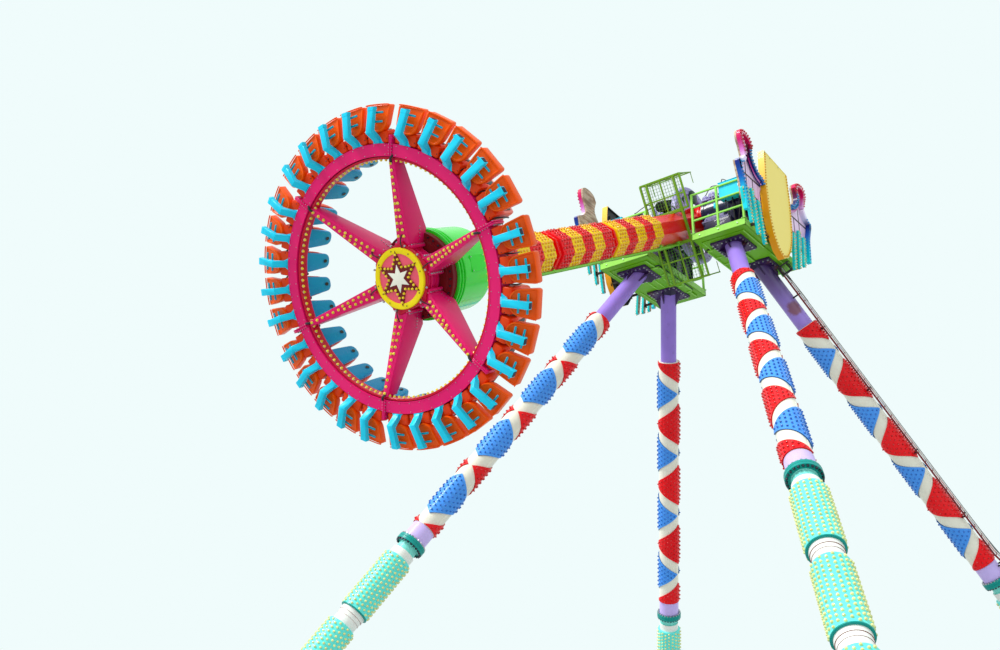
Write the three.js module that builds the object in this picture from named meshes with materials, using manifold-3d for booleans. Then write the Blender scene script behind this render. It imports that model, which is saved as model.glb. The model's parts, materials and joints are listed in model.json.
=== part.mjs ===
// Giant pendulum ride: four legs, two service heads, a swinging octagonal arm and a turning gondola
// with thirty outward-facing seats. Millimetres, +Z up, X is the swing direction, Y the pivot axis.
import * as THREE from "three";
import { mergeVertices } from "three/addons/utils/BufferGeometryUtils.js";
import Module from "manifold-3d";

const wasm = await Module();
wasm.setup();

// Driving sizes
const PIVOT_Z = 16700; // pivot centre above the ground
const SWING_DEG = 61.7; // the arm as shown, from hanging, raised toward -X
const LEG_X = 795, LEG_Y = 1440; // leg axis at the platform's level, from the centre
const DECK_Z = PIVOT_Z - 1430; // underside of the platforms, where the stations start
const SPREAD_X = 0.634, SPREAD_Y = 0.424; // leg run per unit of drop
const TUBE_R = 225, SLEEVE_R = 290, JOINT_R = 360, NECK_R = 240, BAND_R = 280, LIT_R = 330;
const DECK_X = 1610, DECK_Y0 = 670, DECK_Y1 = 2200; // platform half width and its two Y limits
const RAIL_H = 1200, SIGN_Y = { near: 2290, far: 2490 }; // railing height, back of the sign boards
const ARM_AF = 760, COVER_T = 60; // arm beam across flats, thickness of its covers at the corners
const BALCONY_D = 1530; // pivot to the balconies on the arm
const COVERS = [[3080, 5500], [5760, 8140], [8460, 10880]]; // studded covers along the arm
const BEAM_END = 11300, DRUM_END = 12620; // flange at the beam's end, front face of the drum
const HUB_R = 680, HUB_D = 13250; // six-sided hub: corner radius, front face
const RING_D = 13630, RING_BACK = 13330; // pivot to the ring's front and back faces
const RING_R = 2420, RING_W = 213, STRIP_W = 57; // outer radius, radial width, inner strip
const SIDES = 6, SPOKE_PHASE = 22.9; // ring sides and spokes, the first spoke's angle
const SEATS_PER_SIDE = 5, SEAT_PITCH = 11.52; // degrees between seats
const GEAR_R = 1110, GEAR_Y0 = 20, GEAR_Y1 = 180; // lilac gear disc on the pivot shaft
const SHAFT_R = 220, BORE_R = 220.5; // the pivot shaft and its running bore
const SHAFT_L = 1400, COLLAR_R = 450, COLLAR_Y = 395; // half length of the shaft, the arm's collar round it
const HOUSING_R = 550, HOUSING_Y = [430, 1950]; // bearing housing, its two ends from the centre
const HAUNCH_W = 1150, SEAT_W = 1060, STUMP_W = 620; // haunch plates, the legs' top plates, stumps above them
const POST_W = 60, RAIL_W = 50; // square tube of the railings
const GAP = 0.4; // clearance between neighbouring nodes

const DIM = new THREE.Vector3(SPREAD_X, SPREAD_Y, -1).length();
const LEG_LEN = DECK_Z * DIM; // from the deck level to the ground

const V = (x, y, z) => new THREE.Vector3(x, y, z);
const X = V(1, 0, 0), Y = V(0, 1, 0), Z = V(0, 0, 1);
const rad = (d) => (d * Math.PI) / 180;
const shifted = (x, y, z) => new THREE.Matrix4().makeTranslation(x, y, z);
const aboutX = (a) => new THREE.Matrix4().makeRotationX(a);
const aboutZ = (a) => new THREE.Matrix4().makeRotationZ(a);
const axes = (x, y, z) => new THREE.Matrix4().makeBasis(x, y, z);

// Paints: colour, roughness, metalness
const PAINTS = {
  purple: [0x9876d6, 0.35, 0],
  darkPurple: [0x4a2c76, 0.4, 0],
  lilac: [0xaaa0d6, 0.35, 0],
  stripes: [0xf0e9d4, 0.25, 0],
  mint: [0x82e2d6, 0.35, 0],
  green: [0x7ece3e, 0.35, 0],
  black: [0x141416, 0.45, 0.3],
  cyan: [0x14c4f0, 0.35, 0],
  board: [0xffe880, 0.3, 0],
  wing: [0xe0c4ec, 0.3, 0],
  red: [0xec180c, 0.25, 0],
  yellow: [0xffde00, 0.25, 0],
  brightGreen: [0x1ee01e, 0.25, 0],
  magenta: [0xea1c70, 0.35, 0],
  salmon: [0xff6078, 0.3, 0],
  seat: [0xff4e0a, 0.3, 0],
};
function painted(name) {
  const [color, roughness, metalness] = PAINTS[name];
  return new THREE.MeshStandardMaterial({ color, roughness, metalness });
}

// Solids: three.js makes each shape, manifold-3d joins and cuts them
function solid(geometry, matrix) {
  const g = geometry.clone();
  for (const name of Object.keys(g.attributes)) if (name !== "position") g.deleteAttribute(name);
  const m = mergeVertices(g, 1e-3);
  const made = new wasm.Manifold(new wasm.Mesh({
    numProp: 3, vertProperties: new Float32Array(m.attributes.position.array),
    triVerts: new Uint32Array(m.index.array),
  }));
  return matrix ? made.transform(matrix.elements) : made;
}
const join = (...list) => wasm.Manifold.union(list.flat(4));
const cut = (a, ...list) => a.subtract(join(list));

function box(w, d, h, x = 0, y = 0, z = 0) {
  return solid(new THREE.BoxGeometry(w, d, h), shifted(x, y, z));
}
// A frame whose +Z runs from p to q, with +X as near as can be to the side asked for
function along(p, q, side = Y) {
  const z = q.clone().sub(p).normalize();
  if (Math.abs(z.dot(side)) > 0.99) side = X;
  const y = z.clone().cross(side).normalize(), x = y.clone().cross(z);
  return axes(x, y, z).setPosition(p);
}
// A straight bar: w along the side direction, d across it
function bar(p, q, w, d, side) {
  const len = p.distanceTo(q);
  const m = along(p, q, side).multiply(shifted(0, 0, len / 2));
  return solid(new THREE.BoxGeometry(w, d, len), m);
}
// A turned piece about +Z from [radius, z] pairs, closed along the axis
function turned(points, n = 24, matrix) {
  const p = [[0, points[0][1]], ...points, [0, points.at(-1)[1]]].map(([r, z]) => new THREE.Vector2(r, z));
  if (points.at(-1)[1] < points[0][1]) p.reverse();
  const g = new THREE.LatheGeometry(p, n).applyMatrix4(aboutX(Math.PI / 2));
  return solid(g, matrix);
}
const disc = (r, z0, z1, n = 24, matrix) => turned([[r, z0], [r, z1]], n, matrix);
function rod(p, q, r, n = 8) {
  return disc(r, 0, p.distanceTo(q), n, along(p, q));
}
// A flat plate from an outline, in the XY plane, thickness upward
function plate(outline, thick, matrix) {
  const shape = new THREE.Shape(outline.map(([x, y]) => new THREE.Vector2(x, y)));
  return solid(new THREE.ExtrudeGeometry(shape, { depth: thick, bevelEnabled: false, curveSegments: 8 }), matrix);
}
// A plate whose half width is set by the place on its outline
function shaped(outline, half, matrix) {
  const shape = new THREE.Shape(outline.map(([x, y]) => new THREE.Vector2(x, y)));
  const g = new THREE.ExtrudeGeometry(shape, { depth: 2, bevelEnabled: false });
  const p = g.attributes.position;
  for (let i = 0; i < p.count; i++) p.setZ(i, (p.getZ(i) > 1 ? 1 : -1) * half(p.getX(i), p.getY(i)));
  return solid(g, matrix);
}
const ramp = (v, a, b, from, to) => from + (to - from) * Math.min(1, Math.max(0, (v - a) / (b - a)));
// A ring sector about +Z between two angles
function sector(r0, r1, z0, z1, a0, a1, n) {
  const out = [];
  for (let i = 0; i <= n; i++) out.push(polar(r1, a0 + ((a1 - a0) * i) / n));
  for (let i = n; i >= 0; i--) out.push(polar(r0, a0 + ((a1 - a0) * i) / n));
  return plate(out, z1 - z0, shifted(0, 0, z0));
}
const polar = (r, a) => [r * Math.cos(rad(a)), r * Math.sin(rad(a))];

// The ride: the tower stands still, the arm hangs from it, and the gondola turns at the arm's end
const ride = new THREE.Group(), tower = new THREE.Group(), arm = new THREE.Group(), gondola = new THREE.Group();
arm.position.set(0, 0, PIVOT_Z);
arm.rotation.y = rad(SWING_DEG);
arm.add(gondola);
ride.add(tower, arm);

// Adds a named mesh to a group from a solid made in that group's own frame
function add(parent, name, s, paint) {
  const m = s.getMesh(), n = m.numProp, pos = new Float32Array(m.numVert * 3);
  for (let i = 0; i < m.numVert; i++) pos.set(m.vertProperties.subarray(i * n, i * n + 3), i * 3);
  const g = new THREE.BufferGeometry();
  g.setAttribute("position", new THREE.BufferAttribute(pos, 3));
  g.setIndex(new THREE.BufferAttribute(new Uint32Array(m.triVerts), 1));
  g.computeVertexNormals();
  const mesh = new THREE.Mesh(g, painted(paint));
  mesh.name = name;
  parent.add(mesh);
}
// Adds one made in the ride's frame, such as a piece that is cut level with the ground
function addLevel(parent, name, s, paint) {
  parent.updateWorldMatrix(true, false);
  add(parent, name, s.transform(parent.matrixWorld.clone().invert().elements), paint);
}
// A group of the tower placed by a frame
function groupAt(frame) {
  const made = new THREE.Group();
  frame.decompose(made.position, made.quaternion, made.scale);
  tower.add(made);
  return made;
}

// Stations along a leg, measured from the deck level down its axis
const S_SLEEVE = 2000, S_PURPLE = 9615, S_JOINT = 10100, S_BAND = 10360, S_LIT = 10565;
const LIT = [[10565, 12140], [12530, 14140], [14530, 16105]];
const S_BASE = 16500, LEG_N = 20; // foot sleeve, sides of the round legs
const GUSSET_T = 40; // plate of the gussets at a leg's head and foot
const PAD = [1500, 1300, 60]; // base plate
const FOOT_FIN = [[-620, 0], [620, 0], [250, 430], [-640, 430]];

// Outline of a scroll wing from the pivot's centre: curl, corner, four feathers and the hook beside the board
const WING = [
  [1300, 950], [1400, 1120], [1600, 1200], [1830, 1200], [1970, 1110], [1980, 900], [1870, 660], [1800, 460],
  [1930, 290], [2200, 140], [2130, -120], [2010, -450], [1970, -800], [1930, -1190], [1790, -1200], [1740, -930],
  [1640, -1420], [1480, -1440], [1420, -1060], [1300, -1600], [1130, -1640], [1090, -1150], [970, -1760], [800, -1780],
  [800, -900], [850, -250], [770, -80], [730, 60], [810, 190], [1050, 250], [1220, 380], [1360, 560],
  [1380, 720],
];

const BOARD = [
  [-660, 1150], [720, 1030], [770, 200], [700, -800], [560, -1300], [300, -1680], [0, -1830], [-300, -1680],
  [-560, -1300], [-700, -800], [-760, 200],
];
const BOARD_T = 180, WING_T = 170; // thickness of the board and the wings
const STAY_W = 60; // square tube of their stays

const corner = { near: -1, far: 1, left: -1, right: 1 };
function legLine(side, end) {
  const sx = corner[end], sy = corner[side];
  const top = V(sx * LEG_X, sy * LEG_Y, DECK_Z);
  const dir = V(sx * SPREAD_X, sy * SPREAD_Y, -1).normalize();
  const spot = (t) => top.clone().addScaledVector(dir, t);
  return { sx, sy, top, dir, spot, frame: along(top, top.clone().add(dir), V(sx, 0, 0)) };
}
for (const side of ["near", "far"]) for (const end of ["left", "right"]) {
  const { sx, sy, top, dir, spot, frame } = legLine(side, end);
  const name = `leg_${side}_${end}`, leg = groupAt(frame);

  // Upper tube: gusseted top plate under the haunch, runs inside the sleeve and ends in a bolted flange
  const shank = turned([
    [TUBE_R, -40], [TUBE_R, S_PURPLE - 200], [TUBE_R, S_PURPLE + GAP], [SLEEVE_R, S_PURPLE + GAP],
    [SLEEVE_R, S_JOINT - 70], [JOINT_R, S_JOINT - 70], [JOINT_R, S_JOINT - GAP],
  ], LEG_N, frame);
  const gussets = [X, X.clone().negate(), Y, Y.clone().negate()].map((e) => {
    const n = e.clone().cross(dir).normalize();
    const m = axes(e, dir, n).setPosition(top.clone().addScaledVector(n, -GUSSET_T / 2));
    return plate([[0, 30], [430, 30], [TUBE_R + 5, 480], [0, 480]], GUSSET_T, m);
  });
  const seat = box(SEAT_W, SEAT_W, 80, top.x, top.y, DECK_Z - 30);
  const above = box(4000, 4000, 400, top.x, top.y, DECK_Z + 200 - GAP);
  addLevel(leg, `${name}_tube`, cut(join(shank, gussets, seat), above), "purple");

  // Striped sleeve round the tube
  const room = disc(TUBE_R + GAP, S_SLEEVE - 50, S_PURPLE + 50, LEG_N);
  add(leg, `${name}_sleeve`, cut(disc(SLEEVE_R, S_SLEEVE, S_PURPLE - GAP, LEG_N), room), "stripes");

  // Lower leg: flange, neck, white band, lit sleeves, white rings, foot
  const profile = [[JOINT_R, S_JOINT], [JOINT_R, S_JOINT + 70], [NECK_R, S_JOINT + 70], [NECK_R, S_BAND],
    [BAND_R, S_BAND], [BAND_R, S_LIT]];
  LIT.forEach(([a, b], i) => {
    profile.push([LIT_R, a], [LIT_R, b], [BAND_R, b], [BAND_R, i + 1 < LIT.length ? LIT[i + 1][0] : S_BASE]);
  });
  profile.push([BAND_R, LEG_LEN + 600]);
  const foot = V(spot(LEG_LEN).x, spot(LEG_LEN).y, 0);
  const lean = Math.atan2(sy * SPREAD_Y, sx * SPREAD_X);
  const turn = shifted(foot.x, foot.y, 0).multiply(aboutZ(lean));
  const pad = solid(new THREE.BoxGeometry(...PAD), turn.clone().multiply(shifted(0, 0, PAD[2] / 2)));
  const upright = aboutX(Math.PI / 2);
  const fins = [-1, 1].map((k) => plate(FOOT_FIN, GUSSET_T, turn.clone()
    .multiply(shifted(0, k * 200 + GUSSET_T / 2, 50)).multiply(upright)));
  const below = box(6000, 6000, 2000, foot.x, foot.y, -1000);
  addLevel(leg, `${name}_lower`, cut(join(turned(profile, LEG_N, frame), pad, fins), below), "mint");
}

// Ladder with its cage up the near right leg, kinked outward past the bolted joint
{
  const { top, dir, spot, frame } = legLine("near", "right");
  const rung = X.clone().addScaledVector(dir, -dir.x).normalize(), off = dir.clone().cross(rung).normalize();
  const place = (t, a, b) => spot(t).addScaledVector(rung, a).addScaledVector(off, b);
  const foot = LEG_LEN - 700, rail = 45, half = 200; // lower end, rails and half the width between them
  const near = 385, far = 480; // distance from the leg's axis above and below the kink
  const run = [[290, near], [9500, near], [10000, far], [foot, far]];
  const reach = (t) => ramp(t, run[1][0], run[2][0], near, far);
  const line = (a) => run.slice(1).map(([t, r], i) =>
    bar(place(run[i][0] - 10, a, run[i][1]), place(t + 10, a, r), rail, rail, rung));
  const first = 560, pitch = 580;
  const steps = Array.from({ length: Math.floor((foot - 800) / pitch) }, (_, i) => first + pitch * i)
    .map((t) => bar(place(t, 15 - half, reach(t)), place(t, half - 15, reach(t)), 26, 26, dir));
  const ties = [1200, 2300, 4300, 6300, 8300, 9800, 12330, 14330, 16300, 18000].flatMap((t) => [
    bar(place(t, -half - 25, reach(t)), place(t, half + 25, reach(t)), rail, rail, dir),
    ...[-170, 170].map((a) => bar(place(t, a, reach(t)), place(t, a * 0.6, 100), rail, rail, dir)),
  ]);
  const skin = turned([
    [TUBE_R, -200], [TUBE_R, S_SLEEVE], [SLEEVE_R, S_SLEEVE], [SLEEVE_R, S_JOINT - 72],
    [JOINT_R, S_JOINT - 72], [JOINT_R, S_JOINT + 72], [BAND_R, S_JOINT + 72], [BAND_R, S_LIT],
    ...LIT.flatMap(([a, b], i) => [[LIT_R, a], [LIT_R, b], [BAND_R, b], [BAND_R, i < 2 ? LIT[i + 1][0] : S_BASE]]),
    [BAND_R, LEG_LEN + 900],
  ].map(([r, t]) => [r + GAP, t]), LEG_N, frame);
  const hoops = [300, 530].map((t) => {
    const m = axes(rung, off, rung.clone().cross(off)).setPosition(place(t, 0, near));
    const arc = (r) => Array.from({ length: 7 }, (_, i) => polar(r, 30 * i));
    return plate([...arc(290), ...arc(255).reverse()], rail, m);
  });
  const straps = [0, 60, 120, 180].map((a) => {
    const [x, y] = polar(273, a);
    return bar(place(300, x, near + y), place(575, x, near + y), 40, 20, rung);
  });
  const spreaders = [320, 550].map((t) =>
    bar(place(t, -285, near + 5), place(t, 285, near + 5), rail, rail, dir));
  const plates = box(SEAT_W + 4, SEAT_W + 4, 3000, top.x, top.y, DECK_Z + 1430 - GAP);
  addLevel(tower, "leg_ladder", cut(join(line(-half), line(half), steps, ties, hoops, straps, spreaders),
    skin, plates, box(4000, 4000, 3000, top.x, top.y, DECK_Z + 1500 - GAP)), "black");
}

// Service heads: haunch plates, bearing housing, deck, railing, sign and wings
const ROUND_N = 28, BORE_N = 64; // sides of the round housings and of the running bores
const BED_W = 1900; // pedestal and cradle along X
for (const side of ["near", "far"]) {
  const sy = corner[side], y = (v) => sy * v, pz = PIVOT_Z;
  const head = groupAt(shifted(0, 0, pz));
  const haunches = [-1, 1].map((sx) => {
    const c = V(sx * LEG_X, y(LEG_Y), DECK_Z);
    const up = V(-sx * SPREAD_X, -y(SPREAD_Y), 1).normalize();
    return [
      box(HAUNCH_W, HAUNCH_W, 60, c.x, c.y, DECK_Z + 30),
      bar(c.clone().add(V(0, 0, 30)), c.clone().addScaledVector(up, 1500), STUMP_W, STUMP_W, X),
    ];
  });
  const across = shifted(0, 0, pz)
    .multiply(aboutX((-sy * Math.PI) / 2));
  const round = (r, a, b) => disc(r, a, b, ROUND_N, across);
  const housing = [round(HOUSING_R, ...HOUSING_Y), round(HOUSING_R + 50, 1500, 1620)];
  const bore = disc(BORE_R, 400, 1450, BORE_N, across);
  const pedestal = [box(BED_W, 775, 840 - GAP, 0, y(1112.5), DECK_Z + 390 - GAP / 2),
    box(900, 480, 1400, 0, y(1700), DECK_Z + 700)];
  const stumps = cut(join(haunches), box(4000, 4000, 3000, 0, y(LEG_Y), pz - 620 - GAP + 1500));
  const bed = box(2200, 802, 60, 0, y(1050), pz - 590 - GAP);
  const under = box(4000, 4000, 1000, 0, y(LEG_Y), DECK_Z - 500);
  addLevel(head, `head_${side}`, cut(join(stumps, housing, pedestal), bore, bed, under), "darkPurple");

  // Bearing cradle: bolted foot flange with side blocks and gussets
  const blocks = [-1, 1].map((sx) => [
    box(330, 520, 230, sx * 640, y(980), pz - 470),
    plate([[0, 0], [260, 0], [0, 420]], 60, axes(V(sx, 0, 0), Z, V(0, -sx, 0))
      .setPosition(sx * 560, y(1380) + sx * 30, pz - 585)),
  ]);
  const foot = join(box(BED_W, 800, 50, 0, y(1050), pz - 595), blocks);
  addLevel(head, `cradle_${side}`, cut(foot, round(HOUSING_R + GAP, 400, 1480)), "lilac");

  // Pump and motor caps on a saddle over the housing
  const lowerHalf = box(2000, 600, 1000, 0, y(730), pz - 250);
  const saddle = cut(round(HOUSING_R + 40, 640, 820), round(HOUSING_R + GAP, 600, 900), lowerHalf);
  const caps = [-1, 1].map((sx) => [
    box(150, 660, 40, sx * 470, y(800), pz + 330),
    [[560, 90, 140], [790, 130, 190], [1050, 80, 330]].map(([py, r, h]) =>
      turned([[r, 0], [r, h - 40], [r * 0.6, h]], 10, shifted(sx * 450, y(py), pz + 330))),
  ]);
  addLevel(head, `caps_${side}`, cut(join(saddle, caps), round(HOUSING_R + GAP, 380, 1480)), "lilac");

  // Deck: floor plate with an edge and ribs beneath, cut round the haunch plates
  const dy = (DECK_Y0 + DECK_Y1) / 2, dw = DECK_Y1 - DECK_Y0;
  const rim = 50, mid = DECK_Z + 110;
  const floor = box(2 * DECK_X, dw, 40, 0, y(dy), DECK_Z + 180);
  const rims = [
    ...[DECK_Y0 + rim / 2, DECK_Y1 - rim / 2].map((py) => box(2 * DECK_X, rim, 180, 0, y(py), mid)),
    ...[-1, 1].map((sx) => box(rim, dw, 180, sx * (DECK_X - rim / 2), y(dy), mid)),
    box(rim, dw, 150, 0, y(dy), mid), box(2 * DECK_X, rim, 150, 0, y(dy + 300), mid),
  ];
  const hole = HAUNCH_W + 2 * GAP;
  const holes = [box(BED_W + 2 * GAP, 1215 + 2 * GAP, 900, 0, y(1332.5), DECK_Z + 300),
    ...[-1, 1].map((sx) => box(hole, hole, 800, sx * LEG_X, y(LEG_Y), DECK_Z + 100))];
  addLevel(head, `deck_${side}`, cut(join(floor, rims), holes), "green");

  // Railing: posts, top, middle and low rails round three sides
  const rz = DECK_Z + 200 + GAP, x0 = DECK_X - 40, ya = DECK_Y0 + 40, yb = DECK_Y1 - 40;
  const posts = [[-x0, ya], [-x0, dy], [-x0, yb], [0, yb], [x0, yb], [x0, dy], [x0, ya]]
    .map(([px, py]) => box(POST_W, POST_W, RAIL_H, px, y(py), rz + RAIL_H / 2));
  const rails = [RAIL_H - RAIL_W / 2, RAIL_H * 0.66, RAIL_H * 0.33].map((h) => {
    const turns = [[-x0, ya], [-x0, yb], [x0, yb], [x0, ya]].map(([px, py]) => V(px, y(py), rz + h));
    return turns.slice(1).map((q, i) => bar(turns[i], q, RAIL_W, RAIL_W, Z));
  });
  addLevel(head, `railing_${side}`, join(posts, rails), "green");

  // Control box hung inside the outer corner of the railing
  const cabinetX = -x0 + RAIL_W / 2 + GAP + 125;
  addLevel(head, `cabinet_${side}`, box(250, 640, 470, cabinetX, y(1805), pz - 190), "cyan");

  // Sign board between two scroll wings, on stays from the railing and the deck's edge
  const front = (d) => axes(V(-sy, 0, 0), Z, V(0, sy, 0)).setPosition(0, y(d), pz);
  const board = BOARD.map(([a, b]) => [-sy * a, b]);
  const clear = board.map(([a, b]) => [a * 1.004, b * 1.004]);
  const rail = yb + RAIL_W / 2, back = SIGN_Y[side];
  const stay = (px, reach) => [[rail, DECK_Z + 200 + RAIL_H - RAIL_W / 2], [DECK_Y1, mid]].map(([from, z]) =>
    box(STAY_W, reach - from - GAP, STAY_W, px, y((reach + from + GAP) / 2), z));
  const boardStays = [-500, 500].map((px) => stay(px, back + 10));
  addLevel(head, `sign_${side}`, join(plate(board, BOARD_T, front(back)), boardStays), "board");
  for (const end of ["left", "right"]) {
    const sx = corner[end], outline = WING.map(([a, b]) => [-sy * sx * a, b]);
    const sheet = cut(plate(outline, WING_T, front(back - 20)), plate(clear, 400, front(back - 100)));
    addLevel(head, `wing_${side}_${end}`, join(sheet, stay(sx * 1300, back - 10)), "wing");
  }
}

// Arm and gondola are drawn hanging, pivot at the origin; their group is turned to the pose shown
const down = (x, y, d) => V(x, y, -d);
const oct = ARM_AF / 2 / Math.cos(Math.PI / 8);
const eighth = aboutZ(Math.PI / 8);
const beam = (r, d0, d1) => disc(r, -d1, -d0, 8, eighth);
const yTurn = aboutX(Math.PI / 2);

// Beam with its shaft collar, slotted for the gear disc
const gear = (r, g) => disc(r, GEAR_Y0 - g, GEAR_Y1 + g, 40, aboutX(-Math.PI / 2));
const FLANGE = 120; // how far the end flange stands out, and its thickness
const shank = join(beam(oct, 350, BEAM_END), disc(COLLAR_R, -COLLAR_Y, COLLAR_Y, 32, yTurn),
  beam(oct + FLANGE, BEAM_END - FLANGE, BEAM_END));
add(arm, "arm_beam", cut(shank, disc(BORE_R, -500, 500, BORE_N, yTurn), gear(GEAR_R + 4, GAP)), "red");
const drives = [[780, 300], [-780, -300]].map(([x, d]) =>
  disc(200, -40, 440, 20, yTurn.clone().setPosition(x, 0, -d)));
add(arm, "arm_shaft", join(disc(SHAFT_R, -SHAFT_L, SHAFT_L, BORE_N, yTurn), gear(GEAR_R, 0), drives), "lilac");
const motor = join(box(520, 200, 520, -490, 290, -760), box(260, 120, 120, -720, 400, -480),
  rod(V(-700, 350, -300), V(-700, 350, -1200), 160, 16));
add(arm, "arm_motor", cut(motor, beam(oct + GAP, 300, 1400)), "black");
COVERS.forEach(([d0, d1], i) => {
  const sheath = cut(beam(oct + COVER_T, d0, d1), beam(oct + GAP, d0 - 50, d1 + 50));
  add(arm, `arm_cover_${i + 1}`, sheath, "yellow");
});

// Balconies on the arm, one each side, on two long bearers that clasp the beam
const W = 600; // half width
const INNER = 440, MIDDLE = 850, OUTER = { left: 1360, right: 1460 }; // bars, from the arm's axis outward
const BEARER_W = 60, BEARER = ARM_AF / 2 + GAP + BEARER_W / 2; // bearers lie against the beam's flats
const FLOOR_BAR = 50, LIGHT_BAR = 40, POST = 45;
const balcony = ["left", "right"].map((end) => {
  const s = corner[end], b = OUTER[end], d = BALCONY_D;
  const cross = (x, half, w) => bar(down(s * x, -half, d), down(s * x, half, d), w, w, Z);
  const floor = [
    cross(b, W, FLOOR_BAR), cross(INNER, W, FLOOR_BAR),
    cross(MIDDLE, W, LIGHT_BAR), cross(BEARER, INNER, BEARER_W),
    ...[-W, W].map((py) => bar(down(s * INNER, py, d), down(s * b, py, d), FLOOR_BAR, FLOOR_BAR, Z)),
    bar(down(s * 412, 0, d), down(s * b, 0, d), LIGHT_BAR, LIGHT_BAR, Z),
  ];
  const rail = [-W, 0, W].map((py) => bar(down(s * b, py, d), down(s * b, py, d - 770), POST, POST, Y));
  const tops = [375, 750].map((h) =>
    bar(down(s * b, -W, d - h), down(s * b, W, d - h), LIGHT_BAR, LIGHT_BAR, Z));
  return [floor, rail, tops];
});
const bearers = [-1, 1].map((s) =>
  bar(down(-OUTER.left, s * BEARER, BALCONY_D), down(OUTER.right, s * BEARER, BALCONY_D), BEARER_W, 80, Y));
add(arm, "arm_balconies", join(balcony, bearers), "green");

// Ladder line along the underside of the arm, on feet in the gaps between the covers
const LADDER_X = 470, LADDER_W = 150, RUNG = { first: 1800, pitch: 300, count: 31, w: 24 };
const sides = [-LADDER_W, LADDER_W];
const ladder = sides.map((py) =>
  bar(down(LADDER_X, py, BALCONY_D + 60), down(LADDER_X, py, 11100), LIGHT_BAR, LIGHT_BAR, Y));
const steps = Array.from({ length: RUNG.count }, (_, i) => RUNG.first + RUNG.pitch * i)
  .map((d) => bar(down(LADDER_X, -LADDER_W, d), down(LADDER_X, LADDER_W, d), RUNG.w, RUNG.w, Z));
const feet = [1800, 2900, 5630, 8300, 11030].flatMap((d) =>
  sides.map((py) => box(110, 50, 50, ARM_AF / 2 + GAP + 55, py, -d)));
add(arm, "arm_ladder", join(ladder, steps, feet), "green");

// Drum round the gondola's drive, with its three ribs: radius and distance back from the front face
const RIBS = [
  [870, 0], [870, 60], [838, 60], [838, 95], [865, 95], [865, 155], [836, 155], [836, 190], [860, 190],
  [860, 250], [835, 250],
];
const drum = [...RIBS.map(([r, d]) => [r, d - DRUM_END]), [812, -11520], [760, -11450], [560, -BEAM_END - GAP]];
add(arm, "arm_drum", turned(drum, 30), "brightGreen");

// Gondola: bearing ring, six-sided hub with tapering spokes, and the cap
const hex = (r, d0, d1) => disc(r, -d1, -d0, 6, aboutZ(rad(SPOKE_PHASE)));
const rim = RING_R - RING_W - STRIP_W;
const inner = plate(Array.from({ length: 72 }, (_, i) => polar(rim - GAP, SPOKE_PHASE + 5 * i)), 2000,
  shifted(0, 0, -RING_D - 500));
const radial = (a) => {
  const out = V(Math.cos(rad(a)), Math.sin(rad(a)), 0), side = V(-Math.sin(rad(a)), Math.cos(rad(a)), 0);
  return axes(out, Z, side.negate());
};
const spokes = Array.from({ length: SIDES }, (_, i) =>
  shaped([[500, -13180], [rim + 60, -RING_D], [rim + 60, -RING_BACK + 10], [900, -12680], [500, -12780]],
    (r) => ramp(r, 600, rim, 140, 55), radial(SPOKE_PHASE + 60 * i)));
const bearing = disc(820, -12760, -DRUM_END - GAP, 36);
add(gondola, "gondola_hub", join(bearing, hex(HUB_R, 12750, HUB_D), join(spokes).intersect(inner)), "magenta");
add(gondola, "gondola_cap", disc(565, -HUB_D - 50, -HUB_D - GAP, 36), "salmon");

// Ring sides, each with its five kneed brackets and seats
const BRACKET_W = 125;
const bracket = [[2400, -13560], [2520, -13590], [2660, -13765], [3055, -13655], [3055, -13765], [2600, -13880],
  [2470, -13700], [2400, -13670]];
const pan = [[2600, -13610], [2690, -13645], [3070, -13560], [3105, -13510], [3070, -13450], [2620, -13450]];
const back = [[2400, -13590], [2620, -13620], [2660, -13400], [2440, -12760], [2350, -12640], [2270, -12640],
  [2236, -12760], [2285, -13050], [2350, -RING_BACK + 5], [2400, -RING_BACK - 10]];
for (let i = 0; i < SIDES; i++) {
  const a = SPOKE_PHASE + i * 60, a0 = a + 0.005, a1 = a + 60 - 0.005;
  const seg = [sector(RING_R - RING_W, RING_R, -RING_D, -RING_BACK, a0, a1, 12),
    sector(rim, RING_R - RING_W + 20, -RING_D + 20, -RING_BACK - 90, a0, a1, 12)];
  for (let k = 0; k < SEATS_PER_SIDE; k++) {
    const f = radial(a + 30 + SEAT_PITCH * (k - 2));
    const middle = f.clone().multiply(shifted(0, 0, -BRACKET_W / 2));
    seg.push(plate(bracket.slice().reverse(), BRACKET_W, middle),
      shaped(pan.slice().reverse(), (r) => ramp(r, 2690, 3070, 230, 280), f),
      shaped(back, (r, z) => ramp(-z, 12630, 12760, 55, 120) + ramp(-z, 12760, 13300, 0, 105), f));
  }
  add(gondola, `gondola_side_${i + 1}`, join(seg), "seat");
}

// Centre the whole on its box, feet on the ground
const group = new THREE.Group().add(ride);
const centre = new THREE.Box3().setFromObject(ride, true).getCenter(V(0, 0, 0));
ride.position.set(-centre.x, -centre.y, 0);
export default group;
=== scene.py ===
"""Giant pendulum ride: the dressed model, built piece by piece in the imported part's own frame.

Metres throughout. +X is the swing direction, +Y the pivot's axis, +Z up.
The gondola hangs out towards -X, as the arm swings.
"""

import json
import random
from math import atan2, cos, hypot, pi, radians, sin, sqrt, tan, tau

import bmesh
import bpy
import numpy as np
from mathutils import Matrix, Vector


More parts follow.
